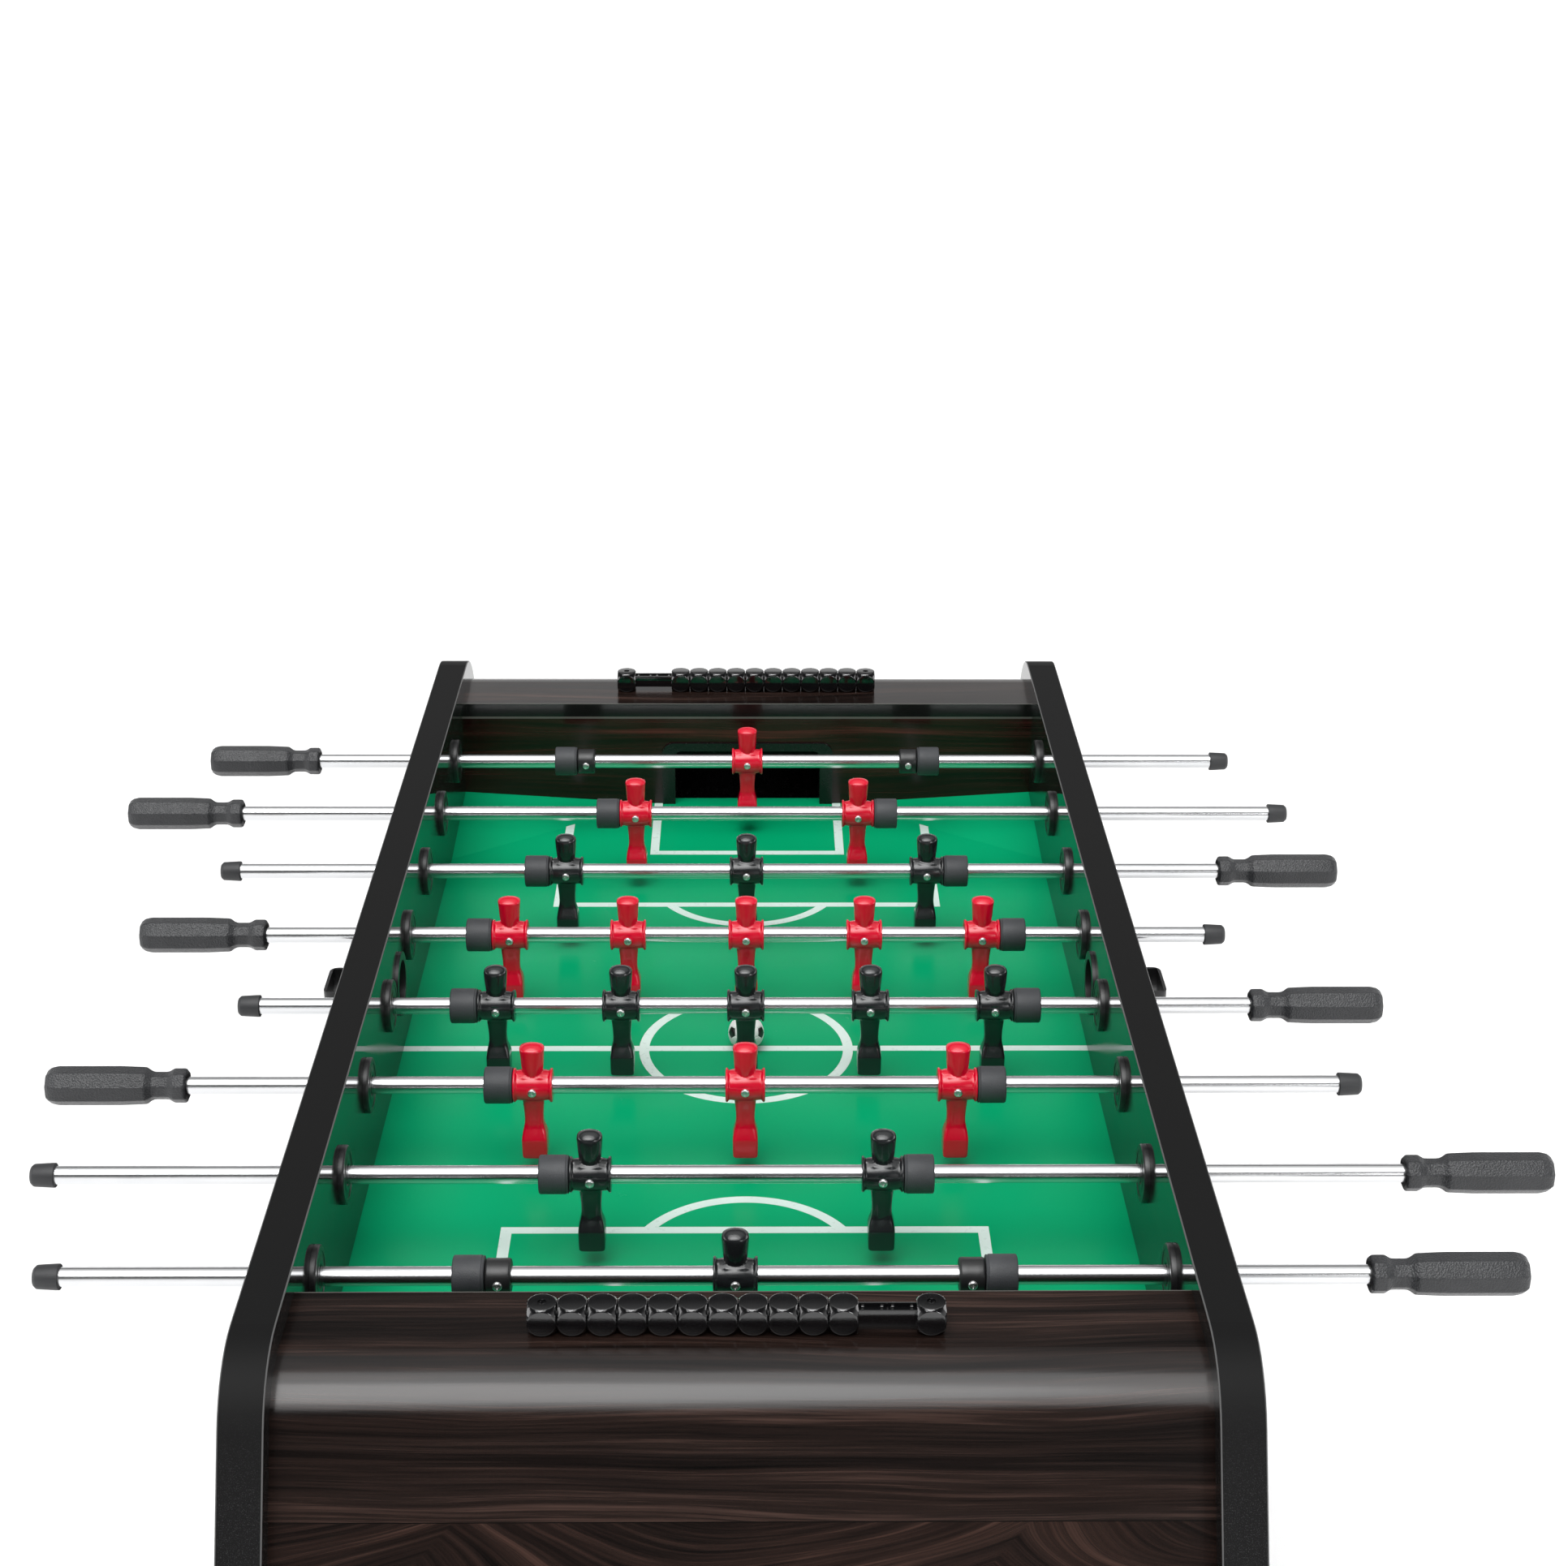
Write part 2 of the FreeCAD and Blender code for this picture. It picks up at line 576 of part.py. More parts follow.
def build_rod(row, y):
    name, side, (men, handle_end, cap_end), shift = row
    places = [x + shift for x in men]
    goalie = len(men) == 1
    tube_handle = handle_end - 16
    tube_cap = cap_end - CAP_L + CAP_DEPTH - 0.5
    x0, x1 = (-tube_handle, tube_cap) if side < 0 else (-tube_cap, tube_handle)
    tube = ring_x(ROD_R, ROD_BORE, x0, x1, y, ROD_Z)
    collars = []
    if goalie:
        collar_x = GOALIE_STOP - BUMPER_L - GAP - COLLAR_L / 2
        collars = [shift - collar_x, shift + collar_x]
        save(name + "_collars", group([collar(x, y) for x in collars]))
        bumper_out = GOALIE_STOP
    else:
        bumper_out = men[-1] + HUB_HALF + GAP + BUMPER_L
    for x in places + collars:
        tube = tube.cut(Part.makeCylinder(SCREW_R + FIT, 60, V(x, y - 30, ROD_Z), Y_AXIS))
    screws = [screw(x, y, HUB_R) for x in places] + [screw(x, y, COLLAR_R) for x in collars]
    bumpers = [bumper(shift - bumper_out, y), bumper(shift + bumper_out - BUMPER_L, y)]
    handle = grip(y, handle_end)
    cap = end_cap(y, cap_end)
    ends = [mirror_x(handle), cap] if side < 0 else [handle, mirror_x(cap)]
    save(name + "_tube", tube)
    save(name + "_men", group([man(x, y) for x in places]))
    save(name + "_screws", group(screws))
    save(name + "_bumpers", group(bumpers))
    save(name + "_grip_and_cap", group(ends))


def main():
    os.makedirs("parts", exist_ok=True)
    panel = side_panel()
    save("right_side_panel", panel)
    save("left_side_panel", mirror_x(panel))
    board = far_end_board()
    save("far_end_board", board)
    save("near_end_board", mirror_y(board))
    wall = far_end_wall()
    save("end_walls", group([wall, mirror_y(wall)]))
    save("playfield", playfield())
    ramp = corner_ramp()
    other = mirror_x(ramp)
    save("corner_ramps", group([ramp, other, mirror_y(ramp), mirror_y(other)]))
    far_goal = goal()
    save("goals", group([far_goal, mirror_y(far_goal)]))
    bushes = [bearing(y) for _, y in rod_places()]
    save("rod_bearings", group(bushes + [mirror_x(b) for b in bushes]))
    cup = serve_cup()
    save("serve_cups", group([cup, mirror_x(cup)]))
    save("under_frame", under_frame())
    save("bottom_panel", bottom_panel())
    save("cabinet_fasteners", cabinet_fasteners())
    save("levelers", levelers())
    rail = near_score_rail()
    beads = near_beads()
    near_shift = V(NEAR_SCORE_X, 0, 0)
    far_shift = V(FAR_SCORE_X, 0, 0)
    save("score_rails", group([rail.translated(near_shift), half_turn(rail).translated(far_shift)]))
    save("near_beads", beads.translated(near_shift))
    save("far_beads", half_turn(beads).translated(far_shift))
    save("ball", Part.makeSphere(BALL_R, V(0, 0, FIELD_Z + BALL_R + GAP)))
    for row, y in rod_places():
        build_rod(row, y)


main()
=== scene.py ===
"""Looks of the foosball table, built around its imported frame. Metres, +Z up, rods along X."""

import math

import bmesh
import bpy
from mathutils import Matrix, Vector

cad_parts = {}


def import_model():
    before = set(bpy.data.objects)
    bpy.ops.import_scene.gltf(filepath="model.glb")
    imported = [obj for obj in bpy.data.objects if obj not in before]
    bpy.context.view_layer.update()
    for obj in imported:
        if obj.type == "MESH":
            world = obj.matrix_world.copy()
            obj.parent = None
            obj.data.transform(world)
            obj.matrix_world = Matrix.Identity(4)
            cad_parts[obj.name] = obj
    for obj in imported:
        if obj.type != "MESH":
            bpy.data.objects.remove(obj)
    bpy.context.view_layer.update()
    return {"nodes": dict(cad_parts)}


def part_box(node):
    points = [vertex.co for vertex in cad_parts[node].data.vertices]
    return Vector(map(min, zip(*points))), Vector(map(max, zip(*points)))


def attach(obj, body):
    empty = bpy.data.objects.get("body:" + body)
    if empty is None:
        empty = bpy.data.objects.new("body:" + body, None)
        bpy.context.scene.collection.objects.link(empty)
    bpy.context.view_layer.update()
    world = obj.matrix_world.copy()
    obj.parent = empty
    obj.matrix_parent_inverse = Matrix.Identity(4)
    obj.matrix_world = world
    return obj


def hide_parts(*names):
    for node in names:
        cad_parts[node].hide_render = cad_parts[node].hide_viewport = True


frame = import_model()

MM = 0.001
TAU = 2 * math.pi
HERE = Matrix.Identity(4)

ROD_COUNT = 8
RED_RODS = (1, 2, 4, 6)
PLANK_W = 0.27             # width of the planks printed on the end boards, along the bend
PLANK_AT = 0.0141          # where a joint between two planks crosses it
FIELD_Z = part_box("playfield")[1].z
IN_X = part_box("playfield")[1].x
IN_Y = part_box("corner_ramps")[1].y
RAIL_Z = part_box("left_side_panel")[1].z
BOARD_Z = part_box("far_end_board")[1].z
ROD_Z = sum(c.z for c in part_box("rod_1_tube")) / 2
FOOT_TOP = ROD_Z - 0.053   # the players' feet end here, and their legs begin


# ---- small helpers ----------------------------------------------------------------------

def clusters(node, axis, gap):
    """Stretches of a node's vertices along an axis, split where they leave a gap."""
    values = sorted(v.co[axis] for v in frame["nodes"][node].data.vertices)
    found = [[values[0], values[0]]]
    for value in values:
        if value - found[-1][1] > gap:
            found.append([value, value])
        found[-1][1] = value
    return found


def new_object(name, data):
    """An object in the scene, for a mesh, a light, a camera or a curve."""
    obj = bpy.data.objects.new(name, data)
    bpy.context.scene.collection.objects.link(obj)
    return obj


def smooth(mesh, angle):
    """Smooth shading, except across edges that turn by more than an angle in degrees."""
    for polygon in mesh.polygons:
        polygon.use_smooth = True
    bm = bmesh.new()
    bm.from_mesh(mesh)
    limit = math.radians(angle)
    for edge in bm.edges:
        sharp = len(edge.link_faces) != 2 or edge.calc_face_angle(0) > limit
        edge.smooth = not sharp
    bm.to_mesh(mesh)
    bm.free()


def mesh_of(bm, name):
    """A new mesh from a bmesh, which is freed."""
    mesh = bpy.data.meshes.new(name)
    bm.to_mesh(mesh)
    bm.free()
    return mesh


def mesh_from(name, verts, faces):
    """A welded mesh with its faces turned outward."""
    mesh = bpy.data.meshes.new(name)
    mesh.from_pydata(verts, [], faces)
    mesh.validate()
    bm = bmesh.new()
    bm.from_mesh(mesh)
    bmesh.ops.remove_doubles(bm, verts=bm.verts, dist=1e-7)
    bmesh.ops.recalc_face_normals(bm, faces=bm.faces)
    bm.to_mesh(mesh)
    bm.free()
    return mesh


def ring_faces(count, rings, closed_path=False):
    """Quads between rings of points that follow each other in one list."""
    faces = []
    for i in range(rings if closed_path else rings - 1):
        a = i * count
        b = ((i + 1) % rings) * count
        for j in range(count):
            k = (j + 1) % count
            faces.append((a + j, a + k, b + k, b + j))
    return faces


def end_faces(count, rings):
    """The two faces that close a stack of rings."""
    last = (rings - 1) * count
    return [tuple(range(count)), tuple(reversed(range(last, last + count)))]


def lathe(name, profile, segments=48, closed=False):
    """A surface of revolution about X. The profile holds (x, radius) points, in millimetres."""
    verts = []
    for x, r in profile:
        for j in range(segments):
            a = TAU * j / segments
            verts.append((x * MM, r * MM * math.cos(a), r * MM * math.sin(a)))
    faces = ring_faces(segments, len(profile), closed)
    if not closed:
        faces += end_faces(segments, len(profile))
    return mesh_from(name, verts, faces)


def loft(name, sections, count=32):
    """Stacked superellipse sections: (height, half x, half y, exponent, shift y), in millimetres."""
    verts = []
    for z, hx, hy, n, dy in sections:
        for j in range(count):
            a = TAU * j / count
            c, s = math.cos(a), math.sin(a)
            x = hx * math.copysign(abs(c) ** (2 / n), c)
            y = hy * math.copysign(abs(s) ** (2 / n), s) + dy
            verts.append((x * MM, y * MM, z * MM))
    faces = ring_faces(count, len(sections)) + end_faces(count, len(sections))
    return mesh_from(name, verts, faces)


def join_meshes(name, meshes):
    """One mesh from several, each given with its place."""
    bm = bmesh.new()
    for mesh, matrix in meshes:
        part = mesh.copy()
        part.transform(matrix)
        bm.from_mesh(part)
        bpy.data.meshes.remove(part)
    return mesh_of(bm, name)


def apply_modifiers(obj):
    """An object's mesh with its modifiers applied."""
    graph = bpy.context.evaluated_depsgraph_get()
    mesh = bpy.data.meshes.new_from_object(obj.evaluated_get(graph))
    obj.modifiers.clear()
    obj.data = mesh
    return mesh


def ease(bm, edges, radius):
    """Rounds edges off to a radius in millimetres."""
    bmesh.ops.bevel(bm, geom=edges, offset=radius * MM, offset_type="OFFSET", segments=3, profile=0.5,
                    affect="EDGES")


def slab(x, y, z, bevel=0.0):
    """A block of the given sides in millimetres, its edges eased."""
    bm = bmesh.new()
    bmesh.ops.create_cube(bm, size=1, matrix=Matrix.Diagonal((x * MM, y * MM, z * MM, 1)))
    if bevel:
        ease(bm, bm.edges[:], bevel)
    return mesh_of(bm, "slab")


def carve(mesh, tool, matrix=HERE):
    """A mesh with another taken away from it."""
    tool.transform(matrix)
    obj = new_object("blank", mesh)
    cutter = new_object("cutter", tool)
    obj.modifiers.new("cut", "BOOLEAN").object = cutter
    made = apply_modifiers(obj)
    bpy.data.objects.remove(obj)
    bpy.data.objects.remove(cutter)
    return made


def fuse(name, mesh, voxel, faces):
    """Overlapping shells made into one moulded skin, then thinned to about so many faces."""
    obj = new_object(name, mesh)
    remesh = obj.modifiers.new("remesh", "REMESH")
    remesh.mode = "VOXEL"
    remesh.voxel_size = voxel
    apply_modifiers(obj)
    relax = obj.modifiers.new("relax", "SMOOTH")
    relax.factor = 0.5
    relax.iterations = 2
    thin = obj.modifiers.new("thin", "DECIMATE")
    thin.ratio = min(1.0, faces / max(1, len(obj.data.polygons) * 2))
    made = apply_modifiers(obj)
    bpy.data.objects.remove(obj)
    return made


def at(x, y, z):
    """The place of a point, as a matrix."""
    return Matrix.Translation((x, y, z))


def place(name, mesh, matrix, body, material, nodes=(), smooth_angle=35):
    """A piece of the object: a copy of a mesh at its place, riding on a body."""
    own = mesh.copy()
    own.transform(matrix)
    if matrix.determinant() < 0:
        own.flip_normals()
    for entry in material if isinstance(material, list) else [material]:
        own.materials.append(entry)
    smooth(own, smooth_angle)
    obj = new_object(name, own)
    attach(obj, body)
    if nodes:
        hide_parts(*nodes)
    return obj


# ---- materials --------------------------------------------------------------------------

class Nodes:
    """A short way to wire a material's nodes. xyz is the point's place on the object at rest."""

    def __init__(self, name):
        self.material = bpy.data.materials.new(name)
        self.material.use_nodes = True
        self.tree = self.material.node_tree
        self.shader = self.tree.nodes["Principled BSDF"]
        self.point = self.add("ShaderNodeTexCoord").outputs["Object"]
        self.xyz = self.split(self.point)

    def add(self, kind, **inputs):
        node = self.tree.nodes.new(kind)
        for key, value in inputs.items():
            node.inputs[key].default_value = value
        return node

    def feed(self, socket, item):
        """Gives a socket a number, a colour or another node's output."""
        if isinstance(item, (int, float)):
            socket.default_value = item
        elif isinstance(item, tuple):
            socket.default_value = (*item, 1)
        else:
            self.tree.links.new(item, socket)

    def value(self, operation, *items):
        node = self.add("ShaderNodeMath")
        node.operation = operation
        for socket, item in zip(node.inputs, items):
            self.feed(socket, item)
        return node.outputs[0]

    def times(self, product, *others):
        for other in others:
            product = self.value("MULTIPLY", product, other)
        return product

    def split(self, vector):
        node = self.add("ShaderNodeSeparateXYZ")
        self.feed(node.inputs[0], vector)
        return node.outputs

    def vector(self, *items):
        node = self.add("ShaderNodeCombineXYZ")
        for socket, item in zip(node.inputs, items):
            self.feed(socket, item)
        return node.outputs[0]

    def normal(self):
        """The surface's direction, as its three parts."""
        return self.split(self.add("ShaderNodeNewGeometry").outputs["Normal"])

    def noise(self, scale, detail=3.0, rough=0.5, vector=None):
        node = self.add("ShaderNodeTexNoise", Scale=scale, Detail=detail, Roughness=rough)
        self.feed(node.inputs["Vector"], vector or self.point)
        return node.outputs[0]

    def ramp(self, factor, stops):
        node = self.add("ShaderNodeValToRGB")
        self.feed(node.inputs[0], factor)
        elements = node.color_ramp.elements
        while len(elements) < len(stops):
            elements.new(0.5)
        for element, (position, colour) in zip(elements, stops):
            element.position = position
            element.color = (*colour, 1)
        return node.outputs[0]

    def mix(self, factor, a, b, blend="MIX"):
        node = self.add("ShaderNodeMix")
        node.data_type = "RGBA"
        node.blend_type = blend
        for index, item in ((0, factor), (6, a), (7, b)):
            self.feed(node.inputs[index], item)
        return node.outputs[2]

    def spread(self, output, low, high, start=0.0, end=1.0):
        """A value between start and end, stretched to low..high."""
        limits = {"From Min": start, "From Max": end, "To Min": low, "To Max": high}
        node = self.add("ShaderNodeMapRange", **limits)
        self.feed(node.inputs["Value"], output)
        return node.outputs[0]

    def colour(self, output):
        self.feed(self.shader.inputs["Base Color"], output)

    def rough(self, output):
        self.feed(self.shader.inputs["Roughness"], output)

    def bump(self, height, strength, distance):
        node = self.add("ShaderNodeBump", Strength=strength, Distance=distance)
        self.feed(node.inputs["Height"], height)
        self.feed(self.shader.inputs["Normal"], node.outputs[0])

    def gloss(self, **levels):
        """Uniform levels on the shader's own sockets, such as Coat_Weight."""
        for key, level in levels.items():
            self.shader.inputs[key.replace("_", " ")].default_value = level


def moulding(name, base, light, rough, coat):
    """Moulded plastic without its skin: a little colour drift and soft flow marks."""
    n = Nodes(name)
    n.colour(n.ramp(n.noise(22, 3), [(0.3, base), (0.75, light)]))
    n.rough(n.spread(n.noise(160, 4, 0.6), rough - 0.06, rough + 0.08))
    n.gloss(Coat_Weight=coat, Coat_Roughness=0.08, IOR=1.5)
    return n


def plastic(name, base, light, rough, fine, coat=0.0):
    """Moulded plastic with a fine skin."""
    n = moulding(name, base, light, rough, coat)
    n.bump(n.noise(900, 2), fine, 0.0003)
    return n.material


def player_plastic(name, base, light):
    """The players' plastic, with a fine grid moulded on their feet."""
    n = moulding(name, base, light, 0.22, 0.2)
    x, _, z = n.xyz
    rows = [n.value("GREATER_THAN", n.value("FRACT", n.times(item, 900)), 0.35) for item in (x, z)]
    n.bump(n.times(*rows, n.value("LESS_THAN", z, FOOT_TOP)), 0.35, 0.0002)
    return n.material


def rubber(name, base, light, grain_scale, grain_depth, rough):
    """Rubber with a leathery grain."""
    n = Nodes(name)
    n.colour(n.ramp(n.noise(30, 4), [(0.3, base), (0.8, light)]))
    n.rough(n.spread(n.noise(220, 4, 0.65), rough - 0.1, rough + 0.12))
    cells = n.add("ShaderNodeTexVoronoi", Scale=grain_scale)
    n.feed(cells.inputs["Vector"], n.point)
    fine = n.noise(grain_scale * 2.2, 3)
    n.bump(n.value("ADD", cells.outputs["Distance"], n.times(fine, 0.7)), 0.8, grain_depth)
    return n.material


def chrome():
    """Bright plating on a tube along X, drawn with fine lengthwise streaks."""
    n = Nodes("chrome")
    n.gloss(Metallic=1.0)
    n.colour(n.ramp(n.noise(14, 3), [(0.3, (0.70, 0.71, 0.725)), (0.8, (0.78, 0.78, 0.79))]))
    x, y, z = n.xyz
    streaks = n.noise(1.0, 4, 0.6, n.vector(n.times(x, 18), n.times(y, 900), n.times(z, 900)))
    n.rough(n.spread(streaks, 0.19, 0.27))
    n.bump(n.noise(420, 2), 0.03, 0.0002)
    return n.material


def steel():
    """Zinc plating, dull and speckled."""
    n = Nodes("zinc_steel")
    n.gloss(Metallic=1.0)
    n.colour(n.ramp(n.noise(260, 3), [(0.3, (0.62, 0.63, 0.63)), (0.8, (0.86, 0.86, 0.85))]))
    n.rough(n.spread(n.noise(700, 3), 0.28, 0.45))
    n.bump(n.noise(1500, 2), 0.1, 0.0001)
    return n.material


TAPE_FOOT = BOARD_Z - 0.0195    # dark edging tape on the boards' inner edges, from here up
TAPE_LINE = BOARD_Z - 0.0168    # its pale lower line ends here
HIGHLIGHT_RIM_Z = BOARD_Z - 0.0008     # and a painted highlight along its eased upper rim starts here
TAPE_Y = IN_Y + 0.001           # the tape is no farther out than this
HIGHLIGHT_RIM_Y = IN_Y + 0.0011           # and neither is the painted highlight on its rim


def wood(name, seed, tint=(1, 1, 1)):
    """Glossy dark laminate, its grain along X: straight above a joint between planks and arched below."""
    n = Nodes(name)
    x, y, z = n.xyz
    reach = n.value("ABSOLUTE", y)
    down = n.value("ADD", n.value("SUBTRACT", reach, z), PLANK_AT)
    planks = n.value("DIVIDE", down, PLANK_W)
    plank = n.value("FLOOR", planks)
    arched = n.value("GREATER_THAN", plank, -0.5)
    slide = n.times(n.value("ADD", plank, seed), 3.71)
    along = n.value("ADD", x, slide)
    wander = n.noise(1.0, 2, 0.5, n.vector(n.times(along, 1.5), n.times(down, 5.0), slide))
    swell = n.times(n.value("SUBTRACT", wander, 0.5), 0.10)
    fold = n.value("PINGPONG", n.value("ADD", along, n.times(down, 0.7)), 0.21)
    arch = n.times(fold, fold, n.times(arched, 1.7))
    across = n.value("ADD", n.value("ADD", down, swell), arch)

    def streaks(length, width, detail, rough):
        return n.noise(1.0, detail, rough, n.vector(n.times(along, length), n.times(across, width), slide))

    broad = streaks(0.9, 26.0, 3, 0.5)
    fine = streaks(2.2, 110.0, 5, 0.6)
    hair = streaks(9.0, 430.0, 4, 0.65)
    grain = n.value("ADD", n.times(broad, 0.36), n.times(fine, 0.38))
    grain = n.value("ADD", grain, n.times(hair, 0.26))
    tone = n.ramp(grain, [
        (0.38, (0.0014, 0.0010, 0.0009)),
        (0.46, (0.0062, 0.0038, 0.0032)),
        (0.54, (0.0160, 0.0092, 0.0074)),
        (0.63, (0.052, 0.0295, 0.0235)),
    ])
    tone = n.mix(1.0, tone, tint, "MULTIPLY")
    tone = n.mix(n.times(arched, 0.6), tone, (1.45, 1.25, 1.15), "MULTIPLY")
    seam = n.value("LESS_THAN", n.value("FRACT", planks), 0.004)
    tone = n.mix(seam, tone, (0.002, 0.0013, 0.001))

    upright = n.value("GREATER_THAN", n.value("ABSOLUTE", n.normal()[1]), 0.95)
    taped = n.times(upright, n.value("LESS_THAN", reach, TAPE_Y), n.value("GREATER_THAN", z, TAPE_FOOT))
    line = n.times(taped, n.value("LESS_THAN", z, TAPE_LINE))
    # painted highlight: the eased inner top edge is drawn pale in place of the light it would catch
    rim_highlight = n.times(n.value("LESS_THAN", reach, HIGHLIGHT_RIM_Y), n.value("GREATER_THAN", z, HIGHLIGHT_RIM_Z))
    tone = n.mix(taped, tone, (0.0055, 0.0055, 0.0055))
    # one pale colour for the tape's lower line and for the painted highlight on the rim
    n.colour(n.mix(n.value("MAXIMUM", line, rim_highlight), tone, (0.10, 0.095, 0.088)))
    n.rough(n.spread(fine, 0.13, 0.27))
    peel = n.noise(7.0, 3)
    n.bump(n.value("ADD", n.times(peel, 9.0), hair), 0.12, 0.0004)
    n.gloss(Specular_IOR_Level=0.34, Coat_Weight=0.18, Coat_Roughness=0.12)
    return n.material


def pitch_green():
    """The pitch's satin green, a little uneven and finely dotted."""
    n = Nodes("pitch_green")
    tone = n.ramp(n.noise(2.4, 3), [(0.3, (0.0002, 0.29, 0.113)), (0.7, (0.0004, 0.35, 0.146))])
    dots = n.noise(700, 2)
    n.colour(n.mix(n.spread(dots, 0.0, 0.10), tone, (0.0008, 0.40, 0.168)))
    n.rough(n.spread(n.noise(40, 4), 0.20, 0.30))
    n.bump(n.noise(1600, 2), 0.05, 0.0002)
    n.gloss(Specular_IOR_Level=0.2)
    return n.material


def side_laminate(tag, inward):
    """A side panel: glossy inside, matte outside, with a painted highlight, a pale line, where its edges are
    eased.
    """
    n = Nodes("side_laminate_" + tag)
    side = n.normal()[0]
    _, y, z = n.xyz
    tilt = n.value("ABSOLUTE", side)
    broad = n.value("GREATER_THAN", tilt, 0.9)
    # painted highlight: the eased edges between the faces are drawn pale grey
    eased_highlight = n.times(n.value("GREATER_THAN", tilt, 0.12), n.value("LESS_THAN", tilt, 0.985))
    facing_in = n.value("GREATER_THAN", n.times(side, inward), 0.9)
    low = n.spread(z, 0.0, 1.0, RAIL_Z - 0.02, RAIL_Z - 0.09)
    speck = n.noise(1400, 3, 0.7)
    # painted glints: the specks are bumped as real texture and also drawn lighter in the edge colour below
    # the rail's corner
    glint_specks = n.times(n.value("GREATER_THAN", speck, 0.60), low)
    edge = n.mix(n.times(glint_specks, 0.55), (0.0022, 0.0022, 0.0023), (0.05, 0.05, 0.052))
    grain = n.noise(1.0, 4, 0.6, n.vector(n.times(y, 4), n.times(z, 120), 0.0))
    face = n.ramp(grain, [(0.35, (0.006, 0.006, 0.0062)), (0.7, (0.014, 0.0135, 0.013))])
    tone = n.mix(broad, edge, face)
    # the pale grey on the eased edges is the painted highlight
    n.colour(n.mix(n.times(eased_highlight, 0.8), tone, (0.12, 0.12, 0.12)))
    outside = n.mix(broad, (0.60, 0.60, 0.60), (0.28, 0.28, 0.28))
    n.rough(n.mix(facing_in, outside, (0.035, 0.035, 0.035)))
    n.bump(n.times(speck, low), 0.25, 0.0004)
    n.gloss(Specular_IOR_Level=0.17)
    return n.material


def raw_board():
    """The under-frame's plain dark boards."""
    n = Nodes("raw_board")
    x, y, z = n.xyz
    grain = n.noise(1.0, 5, 0.6, n.vector(n.times(x, 4), n.times(y, 60), n.times(z, 60)))
    n.colour(n.ramp(grain, [(0.3, (0.018, 0.013, 0.011)), (0.7, (0.045, 0.032, 0.026))]))
    n.rough(n.spread(grain, 0.45, 0.65))
    n.bump(grain, 0.2, 0.0005)
    return n.material


def floor_paint():
    n = Nodes("studio_floor")
    n.colour(n.ramp(n.noise(3, 3), [(0.3, (0.90, 0.90, 0.90)), (0.7, (0.93, 0.93, 0.93))]))
    n.rough(n.spread(n.noise(9, 2), 0.7, 0.85))
    return n.material


MAT = {
    "red": player_plastic("red_plastic", (0.58, 0.0004, 0.018), (0.68, 0.0007, 0.026)),
    "black": player_plastic("black_plastic", (0.0085, 0.0095, 0.0105), (0.014, 0.0155, 0.017)),
    "score": plastic("score_plastic", (0.0025, 0.0025, 0.003), (0.005, 0.005, 0.0055), 0.12, 0.04, 0.8),
    "bearing": plastic("bearing_plastic", (0.0065, 0.0065, 0.007), (0.012, 0.012, 0.0125), 0.34, 0.1),
    "goal": plastic("goal_plastic", (0.004, 0.004, 0.0045), (0.008, 0.008, 0.0085), 0.25, 0.08),
    "collar": plastic("collar_plastic", (0.009, 0.0095, 0.010), (0.016, 0.0165, 0.017), 0.36, 0.1),
    "bumper": rubber("bumper_rubber", (0.034, 0.036, 0.040), (0.054, 0.057, 0.062), 900, 0.00012, 0.55),
    "grip": rubber("grip_rubber", (0.017, 0.018, 0.020), (0.030, 0.031, 0.034), 620, 0.0005, 0.34),
    "cap": rubber("cap_rubber", (0.020, 0.021, 0.023), (0.032, 0.033, 0.035), 900, 0.0001, 0.5),
    "foot": plastic("foot_plastic", (0.012, 0.012, 0.013), (0.02, 0.02, 0.021), 0.4, 0.1),
    "ball_white": plastic("ball_white", (0.70, 0.70, 0.69), (0.82, 0.82, 0.81), 0.28, 0.1),
    "ball_black": plastic("ball_black", (0.006, 0.006, 0.006), (0.012, 0.012, 0.012), 0.28, 0.1),
    "line": plastic("line_paint", (0.60, 0.74, 0.68), (0.68, 0.80, 0.75), 0.28, 0.05),
    "chrome": chrome(),
    "steel": steel(),
    "wood_near": wood("wood_near", 0.0),
    "wood_far": wood("wood_far", 4.0),
    "wood_wall": wood("wood_wall", 9.0, (1.8, 0.68, 0.78)),
    "pitch": pitch_green(),
    "side_left": side_laminate("left", 1),
    "side_right": side_laminate("right", -1),
    "raw": raw_board(),
    "floor": floor_paint(),
}


# ---- the cabinet keeps its CAD shapes and gets its finishes here -------------------------

CAD_FINISH = {
    "left_side_panel": "side_left",
    "right_side_panel": "side_right",
    "near_end_board": "wood_near",
    "far_end_board": "wood_far",
    "end_walls": "wood_wall",
    "playfield": "pitch",
    "corner_ramps": "pitch",
    "goals": "goal",
    "under_frame": "raw",
    "bottom_panel": "raw",
    "cabinet_fasteners": "steel",
    "levelers": "foot",
    "serve_cups": "bearing",
}


def finish_cad():
    for node, key in CAD_FINISH.items():
        obj = frame["nodes"][node]
        obj.data.materials.clear()
        obj.data.materials.append(MAT[key])
        smooth(obj.data, 30)


finish_cad()


# ---- pitch lines ------------------------------------------------------------------------

# Millimetres, to the outer edge of each line.
LINE_W = 10
LINE_T = 0.12
LINE_RISE = 0.02           # each line lies a hair above the one before, so that crossings stay clean
CIRCLE_R = 107.5
BOX_X, BOX_Y = 217, 320    # the penalty box: half its width, and its front line from the centre
GOAL_X, GOAL_Y = 113.5, 457  # and the goal box
BOW_R, BOW_Y = 106, 377    # the bow before the penalty box, about a spot inside it


